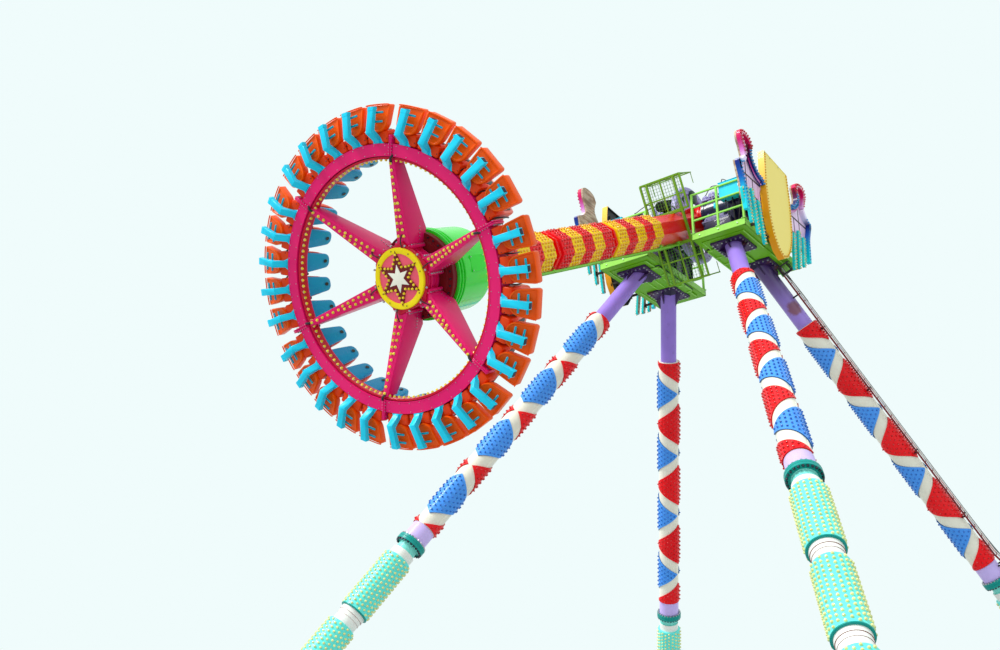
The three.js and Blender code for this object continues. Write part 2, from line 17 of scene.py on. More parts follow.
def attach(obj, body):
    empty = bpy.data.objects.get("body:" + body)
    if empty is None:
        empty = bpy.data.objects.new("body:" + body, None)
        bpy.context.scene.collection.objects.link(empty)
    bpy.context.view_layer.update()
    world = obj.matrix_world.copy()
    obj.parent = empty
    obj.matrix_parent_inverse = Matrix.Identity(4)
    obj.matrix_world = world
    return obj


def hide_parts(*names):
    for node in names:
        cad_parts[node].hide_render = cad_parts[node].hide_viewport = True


bl_info = {
    "name": "Giant pendulum ride", "version": (1, 0, 0), "blender": (4, 5, 0),
    "location": "3D View > Sidebar > Ride",
    "description": "Builds a four-legged pendulum ride with a turning ring of seats", "category": "Object"
}

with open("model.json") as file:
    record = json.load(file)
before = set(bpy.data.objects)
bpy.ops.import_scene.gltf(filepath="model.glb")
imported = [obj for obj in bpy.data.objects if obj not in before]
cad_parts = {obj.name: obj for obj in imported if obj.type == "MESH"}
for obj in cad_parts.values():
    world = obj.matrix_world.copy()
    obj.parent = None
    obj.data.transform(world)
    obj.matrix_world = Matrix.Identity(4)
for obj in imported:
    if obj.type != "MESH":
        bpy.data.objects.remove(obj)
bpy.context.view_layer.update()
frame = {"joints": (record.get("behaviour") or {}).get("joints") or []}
JOINTS = {joint["name"]: joint for joint in frame["joints"]}
PIVOT = Vector(JOINTS["arm_swing"]["pos_m"])

ALONG, ACROSS, UP = Vector((1, 0, 0)), Vector((0, 1, 0)), Vector((0, 0, 1))

# Heights and stations shared with the part's source
DECK_DROP = 1.43  # pivot down to the underside of the platforms
DECK_Z = PIVOT.z - DECK_DROP
SWING = radians(61.7)  # the arm as shown, from hanging
LEG_X, LEG_Y = 0.795, 1.44
SPREAD_X, SPREAD_Y = 0.634, 0.424
TUBE_R, SLEEVE_R, JOINT_R, NECK_R, BAND_R, LIT_R = 0.225, 0.29, 0.36, 0.24, 0.28, 0.34
JOINT_BOLTS = 0.327  # radius of the bolt circle of a leg's joint
S_SLEEVE, S_PURPLE, S_JOINT, S_BAND, S_BASE = 2.0, 9.615, 10.1, 10.36, 16.5
LIT_RUNS = ((10.565, 12.14), (12.53, 14.14), (14.53, 16.105))
DIAMOND = 1.904  # one red and one blue diamond along a leg
SIDES = ("near", "far")
ENDS = ("left", "right")
SIGN = {"near": -1, "far": 1, "left": -1, "right": 1}
LEG_LEN = DECK_Z * sqrt(SPREAD_X**2 + SPREAD_Y**2 + 1)
GAP = 0.0004  # clearance between solids that meet

HANG = Matrix.Translation(PIVOT) @ Matrix.Rotation(SWING, 4, "Y")  # arm frame: hanging, pivot at the origin


def linear(red, green, blue):
    """A screen colour from 0 to 255 as the linear values that Blender's sockets take."""
    return tuple(
        c / 12.92 if c <= 0.04045 else ((c + 0.055) / 1.055) ** 2.4
        for c in (red / 255, green / 255, blue / 255)
    )


def at(x, y, z):
    return Matrix.Translation((x, y, z))


def about_x(angle):
    return Matrix.Rotation(angle, 4, "X")


def about_y(angle):
    return Matrix.Rotation(angle, 4, "Y")


def about_z(angle):
    return Matrix.Rotation(angle, 4, "Z")


# sizes and colours a user would change


def length(name, description, metres):
    return bpy.props.FloatProperty(
        name=name, description=description, default=metres, min=0.001, subtype="DISTANCE", unit="LENGTH"
    )


def colour(name, description, red, green, blue):
    return bpy.props.FloatVectorProperty(
        name=name, description=description, default=linear(red, green, blue), size=3, min=0, max=1,
        subtype="COLOR"
    )


class RideSizes(bpy.types.PropertyGroup):
    """Spacing and size of the small repeated pieces."""

    shell_lift: length("Shell thickness", "How far the studded shells stand off the legs' sleeves", 0.026)
    leg_stud_pitch: length(
        "Leg stud pitch", "Distance between the studs of the red and blue leg shells", 0.135
    )
    leg_stud: length("Leg stud radius", "Radius of a stud on the leg shells", 0.024)
    bulb_pitch: length("Bulb pitch", "Distance between the bulbs of the lit sleeves", 0.112)
    bulb: length("Bulb radius", "Radius of a bulb on the lit sleeves", 0.03)
    cover_stud_pitch: length("Cover stud pitch", "Distance between the studs of the arm covers", 0.121)
    cover_stud: length("Cover stud radius", "Radius of a stud on the arm covers", 0.03)
    strip_bulb: length("Ring bulb radius", "Radius of a bulb on the ring's inner strip and the spokes", 0.024)
    sign_bulb: length("Sign bulb radius", "Radius of a bulb round the sign boards and wings", 0.024)
    bolt: length("Bolt size", "Half the width across flats of a flange bolt", 0.018)


class RideColours(bpy.types.PropertyGroup):
    """Paint, shell and bulb colours."""

    purple: colour("Purple paint", "Upper tubes of the legs", 158, 126, 222)
    haunch: colour("Dark purple paint", "Haunch plates under the platforms", 58, 30, 84)
    cream: colour("Cream shell", "Smooth base between the diamonds", 245, 240, 224)
    red_shell: colour("Red shell", "Red diamonds and cover bands", 245, 10, 24)
    blue_shell: colour("Blue shell", "Blue diamonds on the legs", 76, 156, 248)
    mint: colour("Mint paint", "Bolted joints of the legs", 130, 226, 214)
    cyan_sleeve: colour("Cyan sleeve", "Lit sleeves of the lower legs", 110, 240, 230)
    bulb: colour("Cream bulb", "Bulbs of the lit sleeves", 250, 244, 160)
    yellow_bulb: colour("Yellow bulb", "Bulbs of the ring and the boards", 255, 228, 0)
    red_bulb: colour("Red bulb", "Bulbs of the spokes and the curls", 214, 20, 40)
    blue_bulb: colour("Blue bulb", "Bulbs of the wings' hooks", 30, 150, 216)
    green: colour("Green paint", "Platforms, railings and ladders", 126, 206, 62)
    navy: colour("Navy paint", "Bearing housings", 26, 24, 62)
    lilac: colour("Lilac paint", "Caps, cradles and gear disc", 170, 160, 214)
    cabinet: colour("Cabinet blue", "Control cabinets", 36, 212, 250)
    board: colour("Board yellow", "Faces of the sign boards", 255, 230, 112)
    board_edge: colour("Board orange", "Edges of the sign boards", 255, 168, 16)
    beam: colour("Red paint", "The arm's beam", 236, 14, 4)
    yellow_shell: colour("Yellow shell", "Yellow bands of the arm covers", 255, 214, 0)
    drum: colour("Drum green", "The drum behind the gondola", 20, 225, 20)
    ring: colour("Magenta paint", "Ring and spokes", 236, 16, 108)
    strip: colour("Crimson shell", "Inner strip of the ring", 204, 4, 50)
    salmon: colour("Salmon shell", "The gondola's cap", 255, 96, 120)
    star: colour("Dark red shell", "The cap's outer star", 120, 12, 26)
    bracket: colour("Bracket blue", "Brackets that carry the seats", 16, 208, 242)
    plug: colour("Navy plug", "Open ends of the brackets", 8, 18, 48)
    seat: colour("Seat orange", "Seat pans", 255, 90, 0)
    # Painted shade: a darker copy of the seat orange, used on the seat backs.
    seat_deep: colour("Deep seat orange", "Lower backs of the seats", 238, 62, 0)
    back_shell: colour("Back shell blue", "Tall shells of the seats, on the hub side", 44, 166, 222)


# shader writing


class Number:
    """A number socket, so that shader maths reads as a plain expression."""

    def __init__(self, finish, socket):
        self.finish = finish
        self.socket = socket

    def __add__(self, other):
        return self.finish.maths("ADD", self, other)

    def __radd__(self, other):
        return self.finish.maths("ADD", other, self)

    def __sub__(self, other):
        return self.finish.maths("SUBTRACT", self, other)

    def __rsub__(self, other):
        return self.finish.maths("SUBTRACT", other, self)

    def __mul__(self, other):
        return self.finish.maths("MULTIPLY", self, other)

    def __rmul__(self, other):
        return self.finish.maths("MULTIPLY", other, self)

    def __truediv__(self, other):
        return self.finish.maths("DIVIDE", self, other)

    def most(self, other):
        return self.finish.maths("MAXIMUM", self, other)

    def ramp(self, low, high):
        """0 below low, 1 above high, smooth between."""
        made = self.finish.node(
            "ShaderNodeMapRange", {"interpolation_type": "SMOOTHSTEP", "clamp": True},
            {0: self, 1: low, 2: high, 3: 0.0, 4: 1.0}
        )
        return Number(self.finish, made.outputs[0])


class Finish:
    """One material and the short words its node tree is written in."""

    def __init__(self):
        self.material = bpy.data.materials.new("finish")
        self.material.use_nodes = True
        self.tree = self.material.node_tree
        self.shader = self.tree.nodes["Principled BSDF"]
        self.place = self.node("ShaderNodeTexCoord").outputs["Object"]

    def node(self, kind, settings=None, values=None):
        made = self.tree.nodes.new(kind)
        for key, value in (settings or {}).items():
            if key == "stops":
                ramp = made.color_ramp
                while len(ramp.elements) < len(value):
                    ramp.elements.new(1.0)
                for stop, (position, tint) in zip(ramp.elements, value):
                    stop.position = position
                    stop.color = (*tint, 1.0)
            else:
                setattr(made, key, value)
        for key, value in (values or {}).items():
            self.give(made.inputs[key], value)
        return made

    def give(self, socket, value):
        if isinstance(value, Number):
            value = value.socket
        if isinstance(value, bpy.types.NodeSocket):
            self.tree.links.new(value, socket)
        elif socket.type == "RGBA" and len(value) == 3:
            socket.default_value = (*value, 1.0)
        else:
            socket.default_value = value

    def maths(self, operation, first, second):
        made = self.node("ShaderNodeMath", {"operation": operation}, {0: first, 1: second})
        return Number(self, made.outputs[0])

    def blend(self, amount, below, above):
        """Mixes two colours."""
        made = self.node("ShaderNodeMix", {"data_type": "RGBA"}, {0: amount, 6: below, 7: above})
        return made.outputs[2]

    def mapped(self, scale=(1, 1, 1), turn=(0, 0, 0)):
        made = self.node("ShaderNodeMapping", {}, {"Vector": self.place, "Scale": scale, "Rotation": turn})
        return made.outputs[0]

    def noise(self, scale, detail=3.0, where=None, rough=0.55):
        made = self.node(
            "ShaderNodeTexNoise", {},
            {"Vector": where or self.place, "Scale": scale, "Detail": detail, "Roughness": rough}
        )
        return Number(self, made.outputs[0])

    def cells(self, scale):
        made = self.node("ShaderNodeTexVoronoi", {}, {"Vector": self.place, "Scale": scale})
        return Number(self, made.outputs["Distance"])

    def tone(self):
        """The small difference between one copy of a repeated piece and the next, from 0 to 1."""
        made = self.node("ShaderNodeAttribute", {"attribute_name": "tone"})
        return Number(self, made.outputs["Fac"])

    def height(self):
        """Height above the ground."""
        made = self.node("ShaderNodeSeparateXYZ", {}, {0: self.place})
        return Number(self, made.outputs[2])

    def bump(self, height, strength, distance=0.01):
        made = self.node("ShaderNodeBump", {}, {"Strength": strength, "Distance": distance, "Height": height})
        self.give(self.shader.inputs["Normal"], made.outputs[0])

    def set(self, **values):
        """Gives the shader's own sockets numbers, colours or links; an underscore stands for a space."""
        for key, value in values.items():
            self.give(self.shader.inputs[key.replace("_", " ")], value)
        return self.material


def scaled(tint, factor):
    return tuple(min(1.0, c * factor) for c in tint)


def mixed(tint, other, share):
    return tuple(a + (b - a) * share for a, b in zip(tint, other))


DIRT = linear(92, 78, 62)
RUST = linear(128, 62, 30)


SHEEN = 0.18  # how strongly paint and shell mirror the sky


def paint(tint, rough=0.34, coat=0.06, fade=0.35, dirt=0.3, chips=0.0, grain=0.12):
    """Gloss paint on steel: slow fading, rain streaks with grime, a few rusty chips and brush texture."""
    f = Finish()
    cloud = f.noise(0.8, 3)
    streak = f.noise(1.0, 4, f.mapped((7.0, 7.0, 0.55)))
    fine = f.noise(22.0, 4)
    faded = mixed(scaled(tint, 1.18), (0.8, 0.8, 0.8), 0.03)
    base = f.blend(cloud.ramp(0.35, 0.7) * fade, tint, faded)
    base = f.blend(cloud.ramp(0.62, 0.3) * fade * 0.6, base, scaled(tint, 0.72))
    grime = streak.ramp(0.52, 0.74) * fine.ramp(0.3, 0.7) * dirt
    base = f.blend(grime, base, mixed(DIRT, tint, 0.35))
    if chips:
        spots = f.noise(5.0, 6, rough=0.75).ramp(0.69, 0.74) * chips
        base = f.blend(spots, base, RUST)
        grime = grime.most(spots)
    f.bump(fine, grain, 0.004)
    return f.set(
        Base_Color=base, Roughness=(fine * 0.16 + (rough - 0.06) + grime * 0.4), Coat_Weight=coat,
        Coat_Roughness=0.12, Specular_IOR_Level=SHEEN
    )


def shell(tint, rough=0.3, coat=0.08, fade=0.3, dirt=0.16, wave=0.18):
    """Glossy moulded plastic or glass fibre: a faintly wavy gel coat, chalky fading and dust."""
    f = Finish()
    cloud = f.noise(1.3, 3)
    fine = f.noise(30.0, 3)
    chalk = mixed(scaled(tint, 1.1), (0.85, 0.82, 0.78), 0.04)
    base = f.blend(cloud.ramp(0.4, 0.75) * fade, tint, chalk)
    base = f.blend(f.tone() * 0.35, base, scaled(tint, 0.72))
    dust = f.noise(1.0, 5, f.mapped((4.0, 4.0, 1.2))).ramp(0.55, 0.8) * dirt
    base = f.blend(dust, base, mixed(DIRT, tint, 0.5))
    f.bump(f.noise(6.0, 2) + fine * 0.12, wave, 0.01)
    return f.set(
        Base_Color=base, Roughness=(fine * 0.1 + (rough - 0.04) + dust * 0.5), Coat_Weight=coat,
        Coat_Roughness=0.08, Specular_IOR_Level=SHEEN
    )


def lamp(tint):
    """A small coloured lamp cap: glossy, each one aged differently."""
    f = Finish()
    base = f.blend(f.tone(), mixed(tint, (0.9, 0.9, 0.85), 0.05), scaled(tint, 0.72))
    base = f.blend(f.noise(40.0, 2).ramp(0.55, 0.75) * 0.25, base, mixed(DIRT, tint, 0.4))
    f.bump(f.cells(60.0), 0.08, 0.004)
    return f.set(
        Base_Color=base, Roughness=f.tone() * 0.12 + 0.14, Coat_Weight=0.3, Coat_Roughness=0.08,
        Specular_IOR_Level=0.4
    )


def metal(tint, rough=0.35, rust=0.2):
    """Bare or plated steel fasteners and rods."""
    f = Finish()
    fine = f.noise(35.0, 4)
    spots = f.noise(9.0, 5).ramp(0.56, 0.7) * rust
    base = f.blend(f.tone() * 0.4, tint, scaled(tint, 0.55))
    base = f.blend(spots, base, RUST)
    f.bump(fine, 0.1, 0.002)
    return f.set(Base_Color=base, Metallic=(1 - spots), Roughness=(fine * 0.2 + (rough - 0.1) + spots * 0.4))


def rubber(tint=(0.012, 0.012, 0.014), rough=0.5):
    """Black plastic, cable sheath and rubber."""
    f = Finish()
    fine = f.noise(45.0, 3)
    base = f.blend(f.noise(3.0, 3).ramp(0.45, 0.75) * 0.5, tint, mixed(tint, (0.2, 0.19, 0.18), 0.25))
    f.bump(fine, 0.12, 0.002)
    return f.set(Base_Color=base, Roughness=(fine * 0.15 + (rough - 0.07)))


def smeared_and_shaded(tint, marks):
    """Leg paint with the brown smear that sits on one tube, and painted shade towards the platform; marks are
    centre and reach in metres.
    """
    f = Finish()
    cloud = f.noise(0.8, 3)
    fine = f.noise(22.0, 4)
    streak = f.noise(1.0, 4, f.mapped((7.0, 7.0, 0.55)))
    base = f.blend(cloud.ramp(0.35, 0.7) * 0.4, tint, mixed(scaled(tint, 1.2), (0.8, 0.8, 0.85), 0.12))
    base = f.blend(cloud.ramp(0.62, 0.3) * 0.3, base, scaled(tint, 0.7))
    base = f.blend(streak.ramp(0.5, 0.74) * 0.3, base, mixed(DIRT, tint, 0.4))
    for centre, reach in marks:
        away = f.node("ShaderNodeVectorMath", {"operation": "DISTANCE"}, {0: f.place, 1: centre})
        near = Number(f, away.outputs["Value"]) + (f.noise(9.0, 4) - 0.5) * reach
        base = f.blend(near.ramp(reach * 1.5, reach * 0.8) * 0.8, base, RUST)
    # Painted shade: the tube darkens to dark purple towards the platform above it.
    base = f.blend(f.height().ramp(DECK_Z - 1.5, DECK_Z - 0.3) * 0.85, base, linear(60, 30, 90))
    f.bump(fine, 0.12, 0.004)
    return f.set(Base_Color=base, Roughness=(fine * 0.16 + 0.26), Coat_Weight=0.35, Coat_Roughness=0.12)


FINISHES = {}


def finish(name):
    """The named material, made the first time a piece asks for it."""
    if name not in FINISHES:
        FINISHES[name] = RECIPES[name](bpy.context.scene.ride_colours)
        FINISHES[name].name = name
    return FINISHES[name]


RECIPES = {
    "purple_paint": lambda c: paint(c.purple, fade=0.45, dirt=0.4, chips=0.5),
    "haunch_paint": lambda c: paint(c.haunch, dirt=0.4, chips=0.35),
    "cream_shell": lambda c: shell(c.cream, dirt=0.3, wave=0.1), "red_shell": lambda c: shell(c.red_shell),
    # The two edge finishes are darker copies of the shell colours: painted shade on the shells' side faces.
    "red_edge": lambda c: shell(scaled(c.red_shell, 0.7)), "blue_shell": lambda c: shell(c.blue_shell),
    "blue_edge": lambda c: shell(scaled(c.blue_shell, 0.35)),
    "red_stud": lambda c: lamp(linear(222, 0, 14)), "blue_stud": lambda c: lamp(linear(20, 112, 206)),
    "mint_paint": lambda c: paint(c.mint, dirt=0.25),
    "teal_edge": lambda c: paint(linear(0, 146, 138), dirt=0.3),
    "cyan_sleeve": lambda c: shell(c.cyan_sleeve, wave=0.06),
    "white_band": lambda c: shell(linear(246, 244, 238), dirt=0.3, wave=0.05),
    "cream_bulb": lambda c: lamp(c.bulb), "yellow_bulb": lambda c: lamp(c.yellow_bulb),
    "red_bulb": lambda c: lamp(c.red_bulb), "blue_bulb": lambda c: lamp(c.blue_bulb),
    "bulb_foot": lambda c: shell(linear(222, 214, 190)),
    "dark_bolt": lambda c: metal(linear(70, 74, 84), 0.4, 0.3),
    "plated_bolt": lambda c: metal(linear(190, 190, 196), 0.32, 0.25),
    "rust_line": lambda c: paint(linear(140, 70, 56), rough=0.6, coat=0.0, dirt=0.5, chips=0.6),
    "black_rubber": lambda c: rubber(),
    "black_paint": lambda c: paint((0.014, 0.014, 0.016), rough=0.4, dirt=0.3, chips=0.3),
    "white_conduit": lambda c: shell(linear(226, 224, 220)),
    "ladder_red": lambda c: paint(linear(120, 36, 40), rough=0.5, coat=0.1, dirt=0.4, chips=0.5)
}


# shape making


class Form:
    """One finished bmesh read into arrays, so that it can be set down many times."""

    def __init__(self, bm):
        mesh = bpy.data.meshes.new("form")
        bm.to_mesh(mesh)
        bm.free()
        self.corners = np.empty(len(mesh.vertices) * 3)
        mesh.vertices.foreach_get("co", self.corners)
        self.corners.shape = (-1, 3)
        self.loops = np.empty(len(mesh.loops), int)
        mesh.loops.foreach_get("vertex_index", self.loops)
        self.starts = np.empty(len(mesh.polygons), int)
        mesh.polygons.foreach_get("loop_start", self.starts)
        self.patch = np.empty(len(mesh.polygons), int)
        mesh.polygons.foreach_get("material_index", self.patch)
        bpy.data.meshes.remove(mesh)

    def turned_out(self):
        """The loops with every face reversed, for a mirrored copy."""
        ends = np.append(self.starts[1:], len(self.loops))
        return np.concatenate([self.loops[a:b][::-1] for a, b in zip(self.starts, ends)])


CREASE = 38  # degrees; a sharper turn between two faces shows as an edge


class Piece:
    """A named piece of the ride, put together from forms and made one mesh at the end."""

    def __init__(self, name, *finishes):
        self.name = name
        self.finishes = finishes
        self.stock = []

    def put(self, form, places=None, patch=None):
        """Adds the form at one place or many; patch is the finish's number, or None for the form's own."""
        if places is None:
            places = [Matrix.Identity(4)]
        if isinstance(places, Matrix):
            places = [places]
        self.stock.append((form, np.array([[list(row) for row in m] for m in places]), patch))
        return self

    def box(self, where, size, spot, patch, bevel=0.006, segments=1):
        return self.put(block(size, bevel, segments), where @ at(*spot), patch)

    def bar(self, start, end, width, depth, side=UP, patch=None, bevel=0.006, where=Matrix.Identity(4)):
        run = (end - start).length
        form = block((width, depth, run), bevel)
        return self.put(form, where @ along(start, end, side) @ at(0, 0, run / 2), patch)

    def rod(self, start, end, radius, steps=12, patch=None, where=Matrix.Identity(4), bevel=0.004):
        form = drum(radius, (end - start).length, steps, bevel)
        return self.put(form, where @ along(start, end, ACROSS), patch)

    def make(self, body, replaces=(), slot=None):
        corners, loops, sizes, patches, tones = [], [], [], [], []
        first = 0
        chance = random.Random(self.name)
        for form, places, patch in self.stock:
            count, size = len(places), len(form.corners)
            spots = np.einsum("kij,nj->kni", places[:, :3, :3], form.corners) + places[:, None, :3, 3]
            plain = form.loops
            mirrored = np.linalg.det(places[0, :3, :3]) < 0
            if mirrored:
                plain = form.turned_out()
            corners.append(spots.reshape(-1, 3))
            loops.append((plain[None, :] + (np.arange(count) * size)[:, None]).ravel() + first)
            ends = np.append(form.starts[1:], len(form.loops))
            sizes.append(np.tile(ends - form.starts, count))
            patches.append(np.tile(form.patch if patch is None else np.full(len(form.patch), patch), count))
            tones.append(np.repeat([chance.random() for _ in range(count)], size))
            first += count * size
        corners, loops, sizes = np.concatenate(corners), np.concatenate(loops), np.concatenate(sizes)
        mesh = bpy.data.meshes.new(self.name)
        mesh.vertices.add(len(corners))
        mesh.vertices.foreach_set("co", corners.ravel())
        mesh.loops.add(len(loops))
        mesh.loops.foreach_set("vertex_index", loops)
        mesh.polygons.add(len(sizes))
        mesh.polygons.foreach_set("loop_start", np.concatenate(([0], np.cumsum(sizes)[:-1])))
        mesh.polygons.foreach_set("material_index", np.concatenate(patches))
        mesh.polygons.foreach_set("use_smooth", np.ones(len(sizes), bool))
        mesh.update(calc_edges=True)
        mesh.attributes.new("tone", "FLOAT", "POINT").data.foreach_set("value", np.concatenate(tones))
        mesh.set_sharp_from_angle(angle=radians(CREASE))
        for name in self.finishes:
            mesh.materials.append(finish(name))
        made = bpy.data.objects.new(self.name, mesh)
        bpy.context.scene.collection.objects.link(made)
        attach(made, body)
        if replaces:
            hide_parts(*([replaces] if isinstance(replaces, str) else replaces))
        return made


def basis(x, y, z, origin=Vector((0, 0, 0))):
    return Matrix.Translation(origin) @ Matrix((x, y, z)).transposed().to_4x4()


def along(start, end, side=ACROSS):
    """A frame at start whose +Z runs to end, with +X as near to side as can be."""
    z = (end - start).normalized()
    if abs(z.dot(side)) > 0.99:
        side = ALONG if abs(z.x) < 0.9 else ACROSS
    y = z.cross(side).normalized()
    return basis(y.cross(z), y, z, start)


def sliced(bm, point, normal, clear=False):
    """Cuts everything at a plane, clears what lies beyond it if asked, and gives the cut's edges."""
    made = bmesh.ops.bisect_plane(
        bm, geom=bm.verts[:] + bm.edges[:] + bm.faces[:], plane_co=point, plane_no=normal,
        clear_outer=clear, dist=1e-5
    )
    return [e for e in made["geom_cut"] if isinstance(e, bmesh.types.BMEdge)]


def faced_out(bm):
    bmesh.ops.recalc_face_normals(bm, faces=bm.faces)


def raised(bm, faces, step):
    """Extrudes faces by a step and gives the new vertices."""
    keep = len(faces) > 1 and len(faces) == len(bm.faces)
    made = bmesh.ops.extrude_face_region(bm, geom=faces, use_keep_orig=keep)
    fresh = [v for v in made["geom"] if isinstance(v, bmesh.types.BMVert)]
    bmesh.ops.translate(bm, vec=step, verts=fresh)
    return fresh


def wheeled(bm, line, angle, steps):
    """Spins a line of vertices and edges about Z, once round or part of the way."""
    full = abs(angle - tau) < 1e-6
    bmesh.ops.spin(
        bm, geom=line, cent=(0, 0, 0), axis=(0, 0, 1), dvec=(0, 0, 0), angle=angle, steps=steps,
        use_merge=full, use_normal_flip=False, use_duplicate=False
    )


def rounded_off(bm, width, segments=1, sharp=30):
    """Bevels the edges that turn by more than sharp degrees."""
    if width:
        edges = [e for e in bm.edges if len(e.link_faces) == 2 and e.calc_face_angle(0) > radians(sharp)]
        bmesh.ops.bevel(
            bm, geom=edges, offset=width, offset_type="OFFSET", segments=segments, profile=0.5,
            affect="EDGES", clamp_overlap=True, material=-1
        )


def block(size, bevel=0.006, segments=1):
    bm = bmesh.new()
    bmesh.ops.create_cube(bm, size=1.0)
    bmesh.ops.scale(bm, vec=size, verts=bm.verts)
    rounded_off(bm, min(bevel, min(size) * 0.3), segments)
    return Form(bm)


def drum(radius, run, steps=24, bevel=0.004):
    """A round bar from the origin up +Z, with eased ends."""
    bm = bmesh.new()
    bmesh.ops.create_cone(bm, cap_ends=True, segments=steps, radius1=radius, radius2=radius, depth=run)
    bmesh.ops.translate(bm, vec=(0, 0, run / 2), verts=bm.verts)
    rounded_off(bm, min(bevel, radius * 0.3), 1, 60)
    return Form(bm)


def turned(profile, steps, closed=False, angle=tau):
    """A bmesh spun from a profile of (radius, height) about Z."""
    bm = bmesh.new()
    line = [bm.verts.new((radius, 0, height)) for radius, height in profile]
    edges = [bm.edges.new(pair) for pair in zip(line, line[1:] + (line[:1] if closed else []))]
    wheeled(bm, line + edges, angle, steps)
    bmesh.ops.remove_doubles(bm, verts=bm.verts, dist=1e-6)
    bmesh.ops.dissolve_degenerate(bm, dist=1e-7, edges=bm.edges)
    faced_out(bm)
    return bm


def spun(profile, steps=48, closed=False):
    return Form(turned(profile, steps, closed))


def outline_face(bm, outline):
    return bm.faces.new([bm.verts.new((x, y, 0)) for x, y in outline])


def plate(outline, thick, bevel=0.006, segments=1, hues=None):
    """A plate from an outline in XY, thick up +Z; hues number the finishes of front, edge and back."""
    bm = bmesh.new()
    face = outline_face(bm, outline)
    raised(bm, [face], (0, 0, thick))
    faced_out(bm)
    for side in bm.faces if hues else ():
        side.material_index = hues[0 if side.normal.z > 0.5 else 2 if side.normal.z < -0.5 else 1]
    rounded_off(bm, bevel, segments)
    return Form(bm)


def dome(radius, height, steps=8):
    """A low stud or lamp cap standing on +Z."""
    return spun(
        [(radius, -0.004), (radius * 0.94, height * 0.45), (radius * 0.62, height * 0.86), (0, height)],
        steps
    )


def bulb(radius):
    """A round lamp cap, seated on the sheet."""
    r = radius
    return spun(
        [(r * 0.7, -0.008), (r, r * 0.35), (r * 0.96, r * 0.8), (r * 0.62, r * 1.22), (0, r * 1.4)], 8
    )


def bolt(size, height=None):
    """A hexagon nut with a short thread end."""
    height = height or size * 0.9
    bm = bmesh.new()
    bmesh.ops.create_cone(
        bm, cap_ends=True, segments=6, radius1=size * 1.15, radius2=size * 1.15, depth=height
    )
    bmesh.ops.translate(bm, vec=(0, 0, height / 2), verts=bm.verts)
    top = [f for f in bm.faces if f.normal.z > 0.9]
    bmesh.ops.inset_region(bm, faces=top, thickness=size * 0.5, depth=size * 0.12)
    inner = [f for f in bm.faces if f.normal.z > 0.9 and f.calc_area() < size * size * 1.4]
    raised(bm, inner, (0, 0, size * 0.5))
    bmesh.ops.delete(bm, geom=inner, context="FACES_ONLY")
    faced_out(bm)
    return Form(bm)


def ring_of(count, radius, height=0.0, phase=0.0, turn=Matrix.Identity(4)):
    """Upright places round Z, each turned in itself."""
    return [about_z(phase + tau * i / count) @ at(radius, 0, height) @ turn for i in range(count)]


def hose(points, radius):
    """A round bar or cable along points, read from a bevelled curve."""
    data = bpy.data.curves.new("route", "CURVE")
    data.dimensions = "3D"
    data.bevel_depth = radius
    data.bevel_resolution = 1
    data.use_fill_caps = True
    spline = data.splines.new("NURBS")
    spline.points.add(len(points) - 1)
    for spot, point in zip(spline.points, points):
        spot.co = (*point, 1.0)
    spline.order_u = 3
    spline.use_endpoint_u = True
    spline.resolution_u = 4
    route = bpy.data.objects.new("route", data)
    bpy.context.scene.collection.objects.link(route)
    bpy.context.view_layer.update()
    mesh = bpy.data.meshes.new_from_object(route.evaluated_get(bpy.context.evaluated_depsgraph_get()))
    bpy.data.objects.remove(route)
    bm = bmesh.new()
    bm.from_mesh(mesh)
    bpy.data.meshes.remove(mesh)
    bpy.data.curves.remove(data)
    bmesh.ops.remove_doubles(bm, verts=bm.verts, dist=1e-5)
    faced_out(bm)
    return Form(bm)


# legs


def leg_frame(side, end):
    """The leg's frame: origin on its axis at the platform's level, +Z down the leg."""
    sx, sy = SIGN[end], SIGN[side]
    top = Vector((PIVOT.x + sx * LEG_X, sy * LEG_Y, DECK_Z))
    fall = Vector((sx * SPREAD_X, sy * SPREAD_Y, -1)).normalized()
    return along(top, top + fall, ALONG)


def bearing(frame_matrix, direction):
    """The angle about a leg's own axis at which a world direction stands."""
    local = frame_matrix.to_3x3().transposed() @ Vector(direction)
    return atan2(local.y, local.x)


# Side of each leg on which the red diamonds are centred
RED_SIDE = {
    ("near", "right"): (0.0, -1.0, 0.0), ("near", "left"): (-0.15, 1.0, 0.0),
    ("far", "left"): (1.0, 0.3, 0.0), ("far", "right"): (0.0, -1.0, 0.0)
}
SHELL_TURN, SHELL_RUN = pi * 0.94, 0.64  # half a shell's reach round the leg and along it
LEGS = [(side, end) for side in SIDES for end in ENDS]


def diamond_shell(centre, half_turn, half_run, radius, lift, low, high):
    """A diamond cut from a flat grid, rolled round the sleeve and given its thickness."""
    bm = bmesh.new()
    bmesh.ops.create_grid(bm, x_segments=36, y_segments=10, size=1.0)
    bmesh.ops.scale(bm, vec=(half_turn, half_run, 1), verts=bm.verts)
    for sx in (-1, 1):
        for sy in (-1, 1):
            normal = Vector((sx / half_turn, sy / half_run, 0)).normalized()
            sliced(bm, (sx * half_turn, 0, 0), normal, True)
    for limit, normal in ((low - centre, (0, -1, 0)), (high - centre, (0, 1, 0))):
        sliced(bm, (0, limit, 0), normal, True)
    bmesh.ops.dissolve_degenerate(bm, dist=1e-4, edges=bm.edges)
    for v in bm.verts:
        angle, run = v.co.x, v.co.y
        v.co = (radius * cos(angle), radius * sin(angle), centre + run)
    faced_out(bm)
    if sum(f.normal.dot(f.calc_center_median() * Vector((1, 1, 0))) for f in bm.faces) < 0:
        bmesh.ops.reverse_faces(bm, faces=bm.faces)
    grow = (radius + lift) / radius
    for v in raised(bm, bm.faces[:], (0, 0, 0)):
        v.co = (v.co.x * grow, v.co.y * grow, v.co.z)
    faced_out(bm)
    # Side faces take the darker edge finish, which is painted shade along the shell's rim.
    for face in bm.faces:
        middle = face.calc_center_median()
        out = face.normal.dot(Vector((middle.x, middle.y, 0)).normalized())
        face.material_index = 0 if abs(out) > 0.6 else 1
    return Form(bm)


